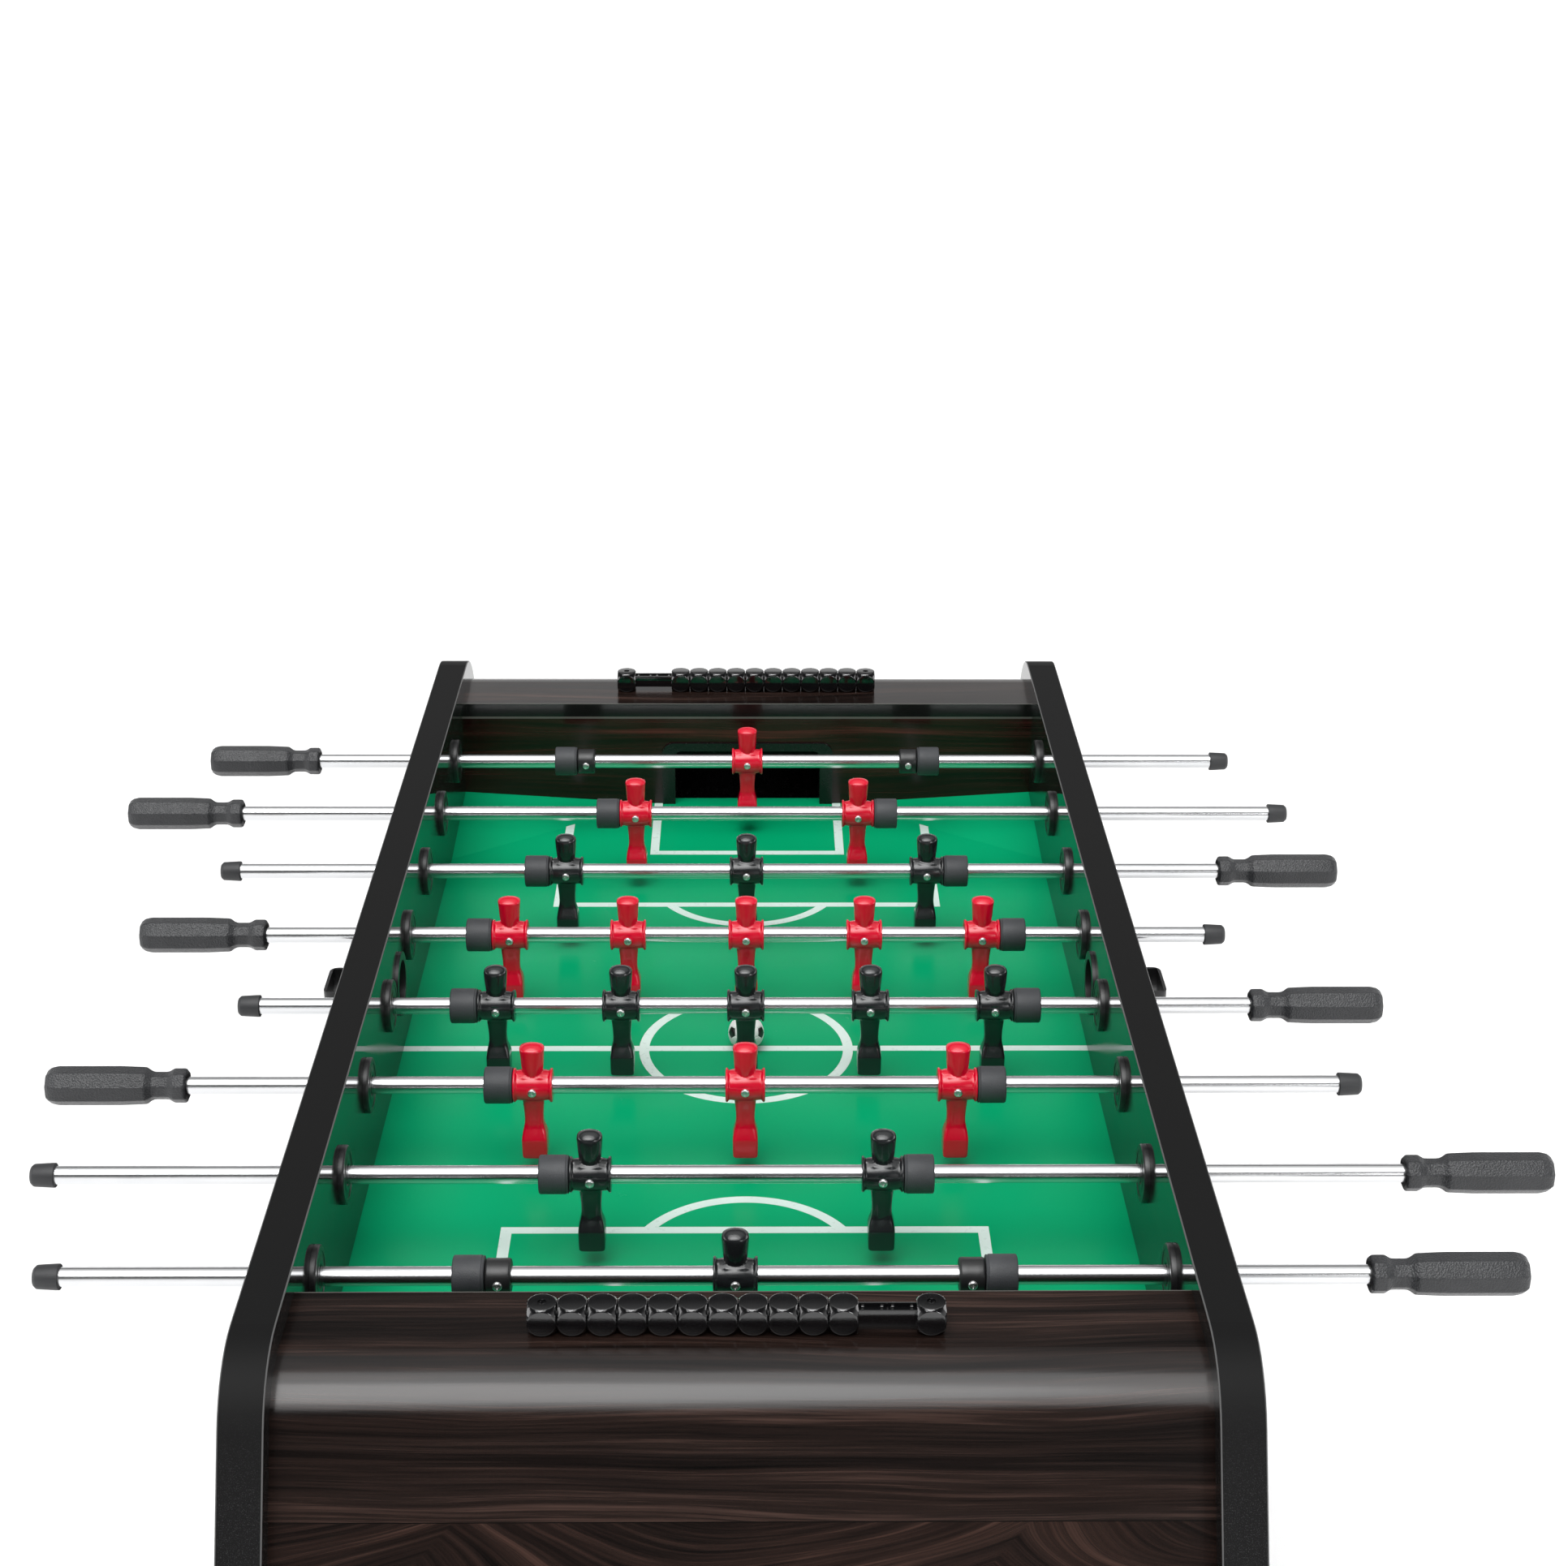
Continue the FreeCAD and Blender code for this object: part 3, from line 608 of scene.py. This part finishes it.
def strip(points, closed, height):
    """A flat painted line along points in millimetres, as (verts, faces)."""
    pts = [Vector((x, y)) for x, y in points]
    count = len(pts)
    left, right = [], []
    for i, p in enumerate(pts):
        before = pts[i - 1] if i > 0 or closed else None
        after = pts[(i + 1) % count] if i < count - 1 or closed else None
        d1 = (p - before).normalized() if before is not None else (after - p).normalized()
        d2 = (after - p).normalized() if after is not None else d1
        mid = (d1 + d2).normalized()
        side = Vector((-mid.y, mid.x)) * (LINE_W / 2 / max(0.3, mid.dot(d2)))
        left.append(p + side)
        right.append(p - side)
    verts, faces = [], []
    for a, b in zip(left, right):
        for z in (0, height):
            verts.append((a.x, a.y, z))
            verts.append((b.x, b.y, z))
    for i in range(count if closed else count - 1):
        a, b = 4 * i, 4 * ((i + 1) % count)
        faces += [(a + 2, a + 3, b + 3, b + 2), (a, a + 2, b + 2, b)]
        faces += [(a + 1, b + 1, b + 3, a + 3), (a, b, b + 1, a + 1)]
    if not closed:
        last = 4 * (count - 1)
        faces += [(0, 1, 3, 2), (last, last + 2, last + 3, last + 1)]
    return verts, faces


def arc(cy, radius, start, end, steps=64):
    """Points round (0, cy), from one angle in degrees to another."""
    angles = [math.radians(start + (end - start) * i / steps) for i in range(steps + 1)]
    return [(radius * math.cos(a), cy + radius * math.sin(a)) for a in angles]


def pitch_lines():
    half = LINE_W / 2
    end = IN_Y / MM - 1
    bow_r = BOW_R - half
    bow = math.degrees(math.acos((BOW_Y - BOX_Y - half) / bow_r))
    lines = [([(-IN_X / MM, 0), (IN_X / MM, 0)], False), (arc(0, CIRCLE_R - half, 0, 360)[:-1], True)]
    for s in (-1, 1):
        for x, y in ((BOX_X - half, BOX_Y + half), (GOAL_X - half, GOAL_Y + half)):
            lines.append(([(-x, s * end), (-x, s * y), (x, s * y), (x, s * end)], False))
        middle = -90 * s
        lines.append((arc(s * BOW_Y, bow_r, middle - bow, middle + bow), False))
    verts, faces = [], []
    for order, (points, closed) in enumerate(lines):
        v, f = strip(points, closed, LINE_T + order * LINE_RISE)
        faces += [tuple(i + len(verts) for i in face) for face in f]
        verts += [(x * MM, y * MM, z * MM) for x, y, z in v]
    mesh = mesh_from("pitch_lines", verts, faces)
    place("pitch_lines", mesh, at(0, 0, FIELD_Z), "cabinet", MAT["line"])


pitch_lines()


# ---- rods -------------------------------------------------------------------------------

# Turned shapes are (x, radius) points, and a player's leg and head are sections for loft, in millimetres.
TUBE_R = 7.95
HUB = [
    (-18, 8.2), (-18, 14.9), (-17.4, 15.6), (-16.0, 15.6), (-15.4, 14.6), (-14.6, 13.5), (-12.5, 13.7),
    (-8, 14.3), (0, 14.6), (8, 14.3), (12.5, 13.7), (14.6, 13.5), (15.4, 14.6), (16.0, 15.6),
    (17.4, 15.6), (18, 14.9), (18, 8.2),
]
LEG = [
    (-72, 9.8, 9.4, 5, 0), (-71.7, 10.8, 10.4, 7, 0), (-70.6, 11.4, 11.0, 9, 0), (-64, 11.6, 11.3, 10, 0),
    (-53.2, 11.6, 11.6, 10, 0), (-51.6, 11.5, 11.4, 9, 0), (-49.6, 11.2, 10.6, 8, 0), (-46, 10.6, 9.1, 7, 0),
    (-42, 9.6, 7.5, 5, 0), (-38, 8.9, 6.7, 4, 0), (-33, 8.6, 6.4, 4, 0), (-27, 8.8, 6.6, 4, 0),
    (-21, 9.3, 7.4, 3.6, 0), (-15, 9.9, 8.6, 3.2, 0), (-8, 10.2, 9.4, 3, 0), (0, 9.6, 9.4, 3, 0),
]
RED_HEAD = [
    (0, 8.6, 7.8, 2, 0), (10, 8.8, 8.2, 1.6, 0), (15, 9.3, 8.8, 1.7, 0), (19, 9.9, 9.5, 1.9, 0),
    (24, 10.4, 9.8, 2.1, 0), (30, 10.6, 9.8, 2.3, 0), (35, 11.0, 9.8, 2.5, 0), (38.4, 11.3, 9.7, 2.6, 0),
    (39.4, 11.0, 9.2, 2.5, 0), (40.2, 10.0, 8.0, 2.4, 0), (41.6, 7.6, 5.6, 2.2, 0), (42.3, 4.6, 3.4, 2, 0),
    (42.6, 1.2, 0.9, 2, 0),
]
BLACK_HEAD = [
    (0, 8.6, 6.6, 2, 0), (10, 8.8, 6.8, 2.0, 0), (15, 9.2, 7.4, 2.1, 0), (20, 9.9, 8.9, 2.2, 0),
    (26, 10.5, 9.8, 2.3, 0), (33, 10.9, 9.9, 2.4, 0), (36.8, 11.1, 9.8, 2.4, 0), (38.8, 10.7, 9.2, 2.4, 0),
    (40.4, 9.6, 7.8, 2.2, 0), (41.8, 7.4, 5.6, 2.1, 0), (42.7, 4.6, 3.3, 2, 0), (43, 1.2, 0.9, 2, 0),
]
BUMPER = [
    (-12.75, 8.3), (-12.75, 15.7), (-12.3, 16.4), (-11.4, 16.8), (10.2, 16.8), (10.8, 16.1), (11.3, 16.1),
    (11.9, 16.5), (12.5, 16.1), (12.75, 15.4), (12.75, 8.3),
]
COLLAR = [
    (-10.5, 8.05), (-10.5, 12.2), (-10.2, 13.3), (-9.4, 14.1), (-8.2, 14.45), (-4, 14.3), (4, 14.3),
    (8.2, 14.45), (9.4, 14.1), (10.2, 13.3), (10.5, 12.2), (10.5, 8.05),
]
CAP = [
    (0, 8.0), (0, 10.2), (0.5, 10.6), (2.5, 10.6), (17.5, 9.8), (18.6, 9.5), (20.7, 7.6), (21, 7.0),
    (21, 0.02),
]
# From the panel's inner face at x = 0: the disc inside, the barrel through the panel, the nut outside.
BEARING = [
    (0, 12.8), (0, 25.5), (-3.6, 25.5), (-4.5, 25.1), (-5, 24.4), (-5, 20.6), (-4.5, 20.0), (-4.5, 15.2),
    (-4.9, 14.6), (-4.9, 10.2), (-4.3, 9.3), (-3.4, 8.9), (-3.4, 8.1), (34, 8.1), (39.5, 8.1), (40, 8.5),
    (40, 12.4), (39.4, 13.0), (39, 13.0), (39, 17.2), (38.2, 18.0), (34, 18.0), (34, 12.8),
]
SCREW = [(-2.2, 0.01), (-2.2, 2.4), (-1.9, 3.3), (-1.2, 3.85), (0.3, 3.95), (0.3, 0.01)]
# The grip's eight-sided sections, from its flange outward: x, distance to a flat, and how far its corners
# stand out from the round.
GRIP = [
    (3.4, 8.3, 0.0), (0.9, 11.6, 0.0), (0, 12.7, 0.05), (0.25, 13.4, 0.06), (1.0, 14.2, 0.066),
    (2.2, 14.65, 0.07), (4, 14.7, 0.07), (11.2, 14.7, 0.07), (12.6, 14.35, 0.07), (16.2, 12.45, 0.066),
    (17.6, 12.0, 0.062), (20, 11.85, 0.06), (28, 11.85, 0.06), (30.4, 12.05, 0.06), (33, 13.1, 0.064),
    (36.2, 15.2, 0.07), (37.4, 15.65, 0.072), (39.5, 15.85, 0.074), (59, 16.55, 0.075), (62, 16.6, 0.075),
    (90, 16.6, 0.075), (116.2, 16.6, 0.075), (118, 16.4, 0.074), (122, 15.6, 0.072), (123.6, 15.1, 0.07),
    (126, 13.5, 0.066), (126.7, 12.9, 0.06), (127, 12.2, 0.05),
]


def grooved(x, z, depth):
    """How deep the groove down the middle of a leg is at a point, in millimetres."""
    if not -45 < z < -17 or abs(x) >= 2.4:
        return 0.0
    return depth * (0.5 + 0.5 * math.cos(math.pi * x / 2.4)) * min(1, (z + 45) / 6, (-17 - z) / 4)


def bib(x, y, z):
    """How far the shirt's front and back stand off the hub at a point, as a part of the radius there."""
    radius, lean = math.hypot(y, z), math.atan2(abs(y), z)
    if not 12.9 < radius < 15 or abs(x) >= 14.6:
        return 0.0
    return 0.7 * min(1, max(0, (14.6 * (1.22 - lean) / 0.95 - abs(x)) / 1.3)) / radius


def man_mesh(name, head, groove, pin):
    """A moulded player about its rod, feet down: hub, leg and head fused into one skin. groove and pin are
    the depths of the line down its legs and of the round mark above its feet."""
    shells = lathe("hub", HUB, 64), loft("leg", LEG, 48), loft("head", head, 48)
    solid = join_meshes(name, [(shell, HERE) for shell in shells])
    mesh = fuse(name, solid, 0.00055, 11000)
    for vert in mesh.vertices:
        x, y, z = (c / MM for c in vert.co)
        sunk = grooved(x, z, groove)
        off = math.hypot(x, z + 40.5)
        if off < 2.5:
            sunk += pin * min(1, (2.5 - off) / 0.5)
        if abs(y) > 3:
            vert.co.y -= math.copysign(sunk * MM, y)
        rise = bib(x, y, z) * MM
        vert.co.y += rise * y
        vert.co.z += rise * z
    return mesh


def screw_mesh():
    """A cross-head screw facing -Y."""
    made = lathe("screw", SCREW, 32)
    for y, z in ((2.3, 0.42), (0.42, 2.3)):
        made = carve(made, slab(2.2, 2 * y, 2 * z), at(-2.0 * MM, 0, 0))
    made.transform(Matrix.Rotation(math.radians(90), 4, "Z"))
    return made


def octagon_radius(angle, apothem, roundness):
    """The reach of an octagon with rounded corners, at an angle from the middle of a flat."""
    local = (angle % (TAU / 8)) - TAU / 16
    return min(apothem / math.cos(local), apothem * (1 + roundness))


def grip_mesh(side, count=96):
    """The handle, from its flange at x = 0 out to its closed end."""
    verts = []
    for x, apothem, roundness in GRIP:
        for j in range(count):
            a = TAU * j / count
            r = octagon_radius(a + TAU / 16, apothem, roundness)
            verts.append((side * x * MM, r * MM * math.cos(a), r * MM * math.sin(a)))
    return mesh_from("grip", verts, ring_faces(count, len(GRIP)) + end_faces(count, len(GRIP)))


def tube_mesh(length):
    """A chromed tube from x = 0, with many short steps so that reflections stay straight."""
    steps = max(2, int(length / MM / 60))
    outer = [(length / MM * i / steps, TUBE_R) for i in range(steps + 1)]
    inner = [(length / MM, 6.0), (0, 6.0)]
    return lathe("tube", outer + inner, 64, closed=True)


MESH = {
    "red": man_mesh("red_man", RED_HEAD, 1.0, 0.0),
    "black": man_mesh("black_man", BLACK_HEAD, 0.3, 0.5),
    "screw": screw_mesh(),
    "bumper": lathe("bumper", BUMPER, 64, closed=True),
    "collar": lathe("collar", COLLAR, 56, closed=True),
    "cap": lathe("cap", CAP),
    "bearing": lathe("bearing", BEARING, 64, closed=True),
    "grip_right": grip_mesh(1),
    "grip_left": grip_mesh(-1),
}


def end_on(x, y, z, flip):
    """A place on a rod, mirrored end for end when flip is true."""
    return at(x, y, z) @ Matrix.Diagonal((-1, 1, 1, 1)) if flip else at(x, y, z)


def each(node, gap):
    """For each solid of a node: its number, its middle along X, and the node itself with the first."""
    for i, (start, end) in enumerate(clusters(node, 0, gap)):
        yield i + 1, (start + end) / 2, [node] if i == 0 else []


def build_rod(number):
    name = f"rod_{number}"
    lo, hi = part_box(name + "_tube")
    y, z = (lo.y + hi.y) / 2, (lo.z + hi.z) / 2
    team = "red" if number in RED_RODS else "black"
    place(name + "_chrome_tube", tube_mesh(hi.x - lo.x), at(lo.x, y, z), name, MAT["chrome"],
          [name + "_tube"])
    men = clusters(name + "_men", 0, 0.02)
    for i, x, nodes in each(name + "_men", 0.02):
        place(f"{name}_man_{i}", MESH[team], at(x, y, z), name, MAT[team], nodes, 50)
    for i, x, nodes in each(name + "_screws", 0.02):
        on_man = any(start < x < end for start, end in men)
        seat = at(x, y - (14.6 if on_man else 14.2) * MM, z)
        place(f"{name}_screw_{i}", MESH["screw"], seat, name, MAT["steel"], nodes)
    for i, x, nodes in each(name + "_bumpers", 0.05):
        place(f"{name}_bumper_{i}", MESH["bumper"], end_on(x, y, z, i > 1), name + "_bumpers",
              MAT["bumper"], nodes)
    if number in (1, ROD_COUNT):
        for i, x, nodes in each(name + "_collars", 0.05):
            place(f"{name}_collar_{i}", MESH["collar"], at(x, y, z), name, MAT["collar"], nodes)
    for start, end in clusters(name + "_grip_and_cap", 0, 0.1):
        left = start < 0
        inner = end if left else start
        if end - start > 0.1:
            place(name + "_grip", MESH["grip_left" if left else "grip_right"], at(inner, y, z), name,
                  MAT["grip"], [name + "_grip_and_cap"], 28)
        else:
            place(name + "_end_cap", MESH["cap"], end_on(inner, y, z, left), name, MAT["cap"])
    for side, tag in ((1, "right"), (-1, "left")):
        nodes = ["rod_bearings"] if number == 1 and side > 0 else []
        place(f"bearing_{number}_{tag}", MESH["bearing"], end_on(side * IN_X, y, z, side < 0), "cabinet",
              MAT["bearing"], nodes)


for rod_number in range(1, ROD_COUNT + 1):
    build_rod(rod_number)


# ---- ball -------------------------------------------------------------------------------

def axes(first, second):
    """Columns: a direction, another square to it, and the third."""
    a = first.normalized()
    b = (second - a * second.dot(a)).normalized()
    return Matrix((a, b, a.cross(b))).transposed()


BALL_FACING = Vector((0.05, -0.86, 0.5))   # a dark patch looks this way
BALL_SIDE = Vector((-1, 0, 0))             # and the next one to it lies over here


def ball():
    """A football of twelve dark patches and twenty pale ones, with sunk seams."""
    lo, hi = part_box("ball")
    radius = (hi.z - lo.z) / 2
    bm = bmesh.new()
    dark = bm.faces.layers.int.new("dark")
    depth = bm.verts.layers.float.new("depth")
    bmesh.ops.create_icosphere(bm, subdivisions=1, radius=1)
    top = Vector((0, 0, 1))
    low = next(v.co.copy() for v in bm.verts if -0.5 < v.co.z < -0.4)
    bmesh.ops.bevel(bm, geom=bm.verts[:], offset=100 / 3, offset_type="PERCENT", segments=1,
                    affect="VERTICES")
    for face in bm.faces:
        face[dark] = int(len(face.verts) == 5)
    for vert in bm.verts:
        vert[depth] = 1
    bmesh.ops.inset_individual(bm, faces=bm.faces[:], thickness=0.035)
    for face in bm.faces:
        if len(face.verts) > 4:
            for vert in face.verts:
                vert[depth] = 0
    bmesh.ops.triangulate(bm, faces=bm.faces[:])
    bmesh.ops.subdivide_edges(bm, edges=bm.edges[:], cuts=5, use_grid_fill=True)
    for vert in bm.verts:
        vert.co = vert.co.normalized() * radius * (1 - 0.02 * vert[depth])
    for face in bm.faces:
        face.material_index = face[dark]
    turn = (axes(BALL_FACING, BALL_SIDE) @ axes(top + low, top - low).transposed()).to_4x4()
    place("football", mesh_of(bm, "ball"), at(*((lo + hi) / 2)) @ turn, "ball",
          [MAT["ball_white"], MAT["ball_black"]], ["ball"], 60)


ball()


# ---- scorers ----------------------------------------------------------------------------

BEADS = 10
BEAD_GAP = 0.4             # left between two beads, in millimetres
HOLE = (12.6, 14.2)        # through a bead, across and up, round the channel
CHANNEL = (12, 13.6)
SLOT = (8, 6)              # the groove along the channel's top
NUMERAL = 0.0115           # height of a numeral, in metres


def dice(width, side):
    """A ball flattened on six sides so that each face is a disc with an eased rim."""
    bm = bmesh.new()
    bmesh.ops.create_icosphere(bm, subdivisions=5, radius=side * 0.665 * MM)
    for axis in range(3):
        half = (side if axis else width) / 2 * MM
        for sign in (-1, 1):
            normal = [0, 0, 0]
            normal[axis] = sign
            bmesh.ops.bisect_plane(bm, geom=bm.verts[:] + bm.edges[:] + bm.faces[:], dist=1e-6,
                                   plane_co=[half * c for c in normal], plane_no=normal, clear_outer=True)
            bmesh.ops.holes_fill(bm, edges=[e for e in bm.edges if e.is_boundary])
    bmesh.ops.remove_doubles(bm, verts=bm.verts[:], dist=0.06 * MM)
    rims = [e for e in bm.edges if e.is_manifold and e.calc_face_angle(0) > math.radians(20)]
    ease(bm, rims, 0.7)
    return mesh_of(bm, "dice")


def digits(text):
    """A raised numeral, as a mesh centred on its place and facing up."""
    curve = bpy.data.curves.new("digits", "FONT")
    curve.body = text
    curve.size = NUMERAL
    curve.align_x = "CENTER"
    curve.align_y = "CENTER"
    curve.extrude = 0.3 * MM
    curve.bevel_depth = 0.12 * MM
    curve.resolution_u = 4
    obj = new_object("digits", curve)
    mesh = bpy.data.meshes.new_from_object(obj.evaluated_get(bpy.context.evaluated_depsgraph_get()))
    bpy.data.objects.remove(obj)
    return mesh


def score_beads(tag, turn, step):
    """Ten bored beads in a row, each with its numeral the right way up for its own player."""
    node = tag + "_beads"
    lo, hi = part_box(node)
    side = (hi.z - lo.z) / MM
    bead = carve(dice(step / MM - BEAD_GAP, side), slab(2 * side, *HOLE))
    label_at = at(0, 0, side / 2 * MM - 0.45 * MM) @ Matrix.Rotation(turn, 4, "Z")
    for i in range(BEADS):
        number = BEADS - i if tag == "near" else i + 1
        mesh = join_meshes("bead", [(bead, HERE), (digits(str(number)), label_at)])
        middle = at(lo.x + step * (i + 0.5) - BEAD_GAP / 2 * MM, (lo.y + hi.y) / 2, (lo.z + hi.z) / 2)
        place(f"{tag}_bead_{i + 1}", mesh, middle, node, MAT["score"],
              [node] if i == 0 else [], 30)


def end_block(width, side):
    """The block at an end of the channel, with a pit in its top and the screw down in it."""
    pit = lathe("pit", [(-2.6, 0.02), (-2.6, 3.3), (2.6, 3.3), (2.6, 0.02)], 24)
    pit.transform(at(0, 0, side / 2 * MM) @ Matrix.Rotation(math.radians(90), 4, "Y"))
    upright = Matrix.Rotation(math.radians(-90), 4, "X") @ Matrix.Scale(0.8, 4)
    screw_at = at(0, 0, (side / 2 - 2.7) * MM) @ upright
    return join_meshes("end_block", [(carve(dice(width, side), pit), HERE), (MESH["screw"], screw_at)])


def channel_floor(centre, y, z, step):
    """The small bumps and cross bars along the groove's floor, a set for each bead's step."""
    bump = lathe("bump", [(-1.6, 0.02), (-1.5, 0.8), (-0.8, 1.25), (0.8, 1.25), (1.5, 0.8), (1.6, 0.02)], 16)
    bar = slab(1.2, 5.5, 1.6, 0.4)
    pieces = []
    for i in range(-6, 7):
        x = centre + i * step
        pieces += [(bump, at(x + dx * MM, y + dy * MM, z + 4.2 * MM)) for dx in (-4, 4) for dy in (-3.2, 3.2)]
        pieces.append((bar, at(x, y, z + 4.4 * MM)))
    return pieces


def scorer(tag, turn):
    """Ten beads on a channel between two screwed end blocks."""
    lo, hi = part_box(tag + "_beads")
    y, z = (lo.y + hi.y) / 2, (lo.z + hi.z) / 2
    side = (hi.z - lo.z) / MM
    step = (hi.x - lo.x + BEAD_GAP * MM) / BEADS
    width = step / MM - BEAD_GAP
    score_beads(tag, turn, step)
    rail = [v.co.x for v in frame["nodes"]["score_rails"].data.vertices if (v.co.y < 0) == (tag == "near")]
    centre, half = (min(rail) + max(rail)) / 2, (max(rail) - min(rail)) / 2
    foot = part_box("score_rails")[0].z
    block = end_block(width, side)
    pieces = [(block, at(centre + s * (half - width / 2 * MM), y, foot + side / 2 * MM)) for s in (-1, 1)]
    channel = carve(slab(2 * half / MM - 12, *CHANNEL, 0.45), slab(400, *SLOT), at(0, 0, CHANNEL[1] / 2 * MM))
    pieces.append((channel, at(centre, y, z)))
    pieces += channel_floor(centre, y, z, step)
    place(f"{tag}_score_rail", join_meshes("score_rail", pieces), HERE, "cabinet",
          MAT["score"], ["score_rails"] if tag == "near" else [], 30)


scorer("near", 0.0)
scorer("far", math.pi)


# ---- studio -----------------------------------------------------------------------------

AMBIENT = 0.05             # the dark belt between the glow overhead and the horizon
CAMERA_AT = (0.0075, -2.2303, FIELD_Z + 1.268)
CAMERA_DOWN, CAMERA_YAW, CAMERA_ROLL = math.radians(23.64), math.radians(0.75), math.radians(0.31)


def studio():
    """A pale floor, just under the feet."""
    bm = bmesh.new()
    bmesh.ops.create_grid(bm, x_segments=2, y_segments=2, size=40)
    mesh = mesh_of(bm, "studio_floor")
    mesh.materials.append(MAT["floor"])
    floor = new_object("studio_floor", mesh)
    floor.location.z = -0.5 * MM


def area_light(name, spot, target, size, power):
    """A rectangular softbox at a spot, turned to a target."""
    data = bpy.data.lights.new(name, "AREA")
    data.shape = "RECTANGLE"
    data.size, data.size_y = size
    data.energy = power
    obj = new_object(name, data)
    obj.location = spot
    obj.rotation_euler = (Vector(target) - Vector(spot)).to_track_quat("-Z", "Y").to_euler()


def sun(direction, irradiance, angle):
    """A large soft disc of light, far away."""
    data = bpy.data.lights.new("softbox", "SUN")
    data.energy = irradiance
    data.angle = math.radians(angle)
    obj = new_object("softbox", data)
    obj.rotation_euler = Vector(direction).to_track_quat("Z", "Y").to_euler()


def world():
    """Dim studio: a glow overhead, a dark belt, and a pale horizon that reaches higher behind the table."""
    made = bpy.data.worlds.new("studio")
    bpy.context.scene.world = made
    made.use_nodes = True
    tree = made.node_tree
    back = tree.nodes["Background"]
    coords = tree.nodes.new("ShaderNodeTexCoord")
    split = tree.nodes.new("ShaderNodeSeparateXYZ")
    tree.links.new(coords.outputs["Generated"], split.inputs[0])

    def step(source, start, end, low, high):
        node = tree.nodes.new("ShaderNodeMapRange")
        node.interpolation_type = "SMOOTHSTEP"
        for key, level in (("From Min", start), ("From Max", end), ("To Min", low), ("To Max", high)):
            node.inputs[key].default_value = level
        tree.links.new(source, node.inputs["Value"])
        return node.outputs[0]

    def combine(operation, a, b):
        node = tree.nodes.new("ShaderNodeMath")
        node.operation = operation
        tree.links.new(a, node.inputs[0])
        tree.links.new(b, node.inputs[1])
        return node.outputs[0]

    across, along, up = split.outputs
    aside = tree.nodes.new("ShaderNodeMath")
    aside.operation = "ABSOLUTE"
    tree.links.new(across, aside.inputs[0])
    overhead = step(up, 0.78, 0.95, AMBIENT, 0.9)
    behind = combine("MULTIPLY", step(up, 0.52, 0.95, 0.05, 0.9), step(along, 0.0, 0.3, 0.0, 1.0))
    low_glow = step(up, 0.06, 0.24, 0.80, 0.0)
    back_glow = combine("MULTIPLY", step(up, 0.36, 0.47, 0.70, 0.0), step(along, 0.2, 0.6, 0.0, 1.0))
    to_sides = step(aside.outputs[0], 0.5, 0.85, 0.0, 1.0)
    side_glow = combine("MULTIPLY", step(up, 0.20, 0.60, 0.70, 0.0), to_sides)
    glow = combine("MAXIMUM", low_glow, combine("MAXIMUM", back_glow, side_glow))
    tree.links.new(combine("ADD", combine("MAXIMUM", overhead, behind), glow), back.inputs["Strength"])
    back.inputs["Color"].default_value = (1, 1, 1, 1)


def camera():
    """Looks down along the table from beyond its near end."""
    data = bpy.data.cameras.new("camera")
    data.sensor_width = 36
    data.lens = 58.2
    data.clip_end = 200
    obj = new_object("camera", data)
    bpy.context.scene.camera = obj
    ahead = Vector((math.sin(CAMERA_YAW), math.cos(CAMERA_YAW), 0))
    forward = ahead * math.cos(CAMERA_DOWN) - Vector((0, 0, math.sin(CAMERA_DOWN)))
    right = Vector((math.cos(CAMERA_YAW), -math.sin(CAMERA_YAW), 0))
    up = right.cross(forward)
    tilted = right * math.cos(CAMERA_ROLL) + up * math.sin(CAMERA_ROLL)
    raised = up * math.cos(CAMERA_ROLL) - right * math.sin(CAMERA_ROLL)
    obj.matrix_world = at(*CAMERA_AT) @ Matrix((tilted, raised, -forward)).transposed().to_4x4()


studio()
world()
sun((-0.12, -0.42, 0.90), 0.85, 30)
sun((-0.12, -0.35, 0.93), 2.1, 56)
area_light("right_front", (2.6, -4.4, 2.3), (0.3, -0.7, 0.8), (1.5, 1.5), 45)
area_light("left_side", (-4.2, -0.6, 1.9), (0, 0, 0.6), (2.4, 2.0), 40)
area_light("right_side", (4.2, 0.6, 1.9), (0, 0, 0.6), (2.4, 2.0), 40)
camera()
bpy.context.scene.view_settings.view_transform = "Standard"
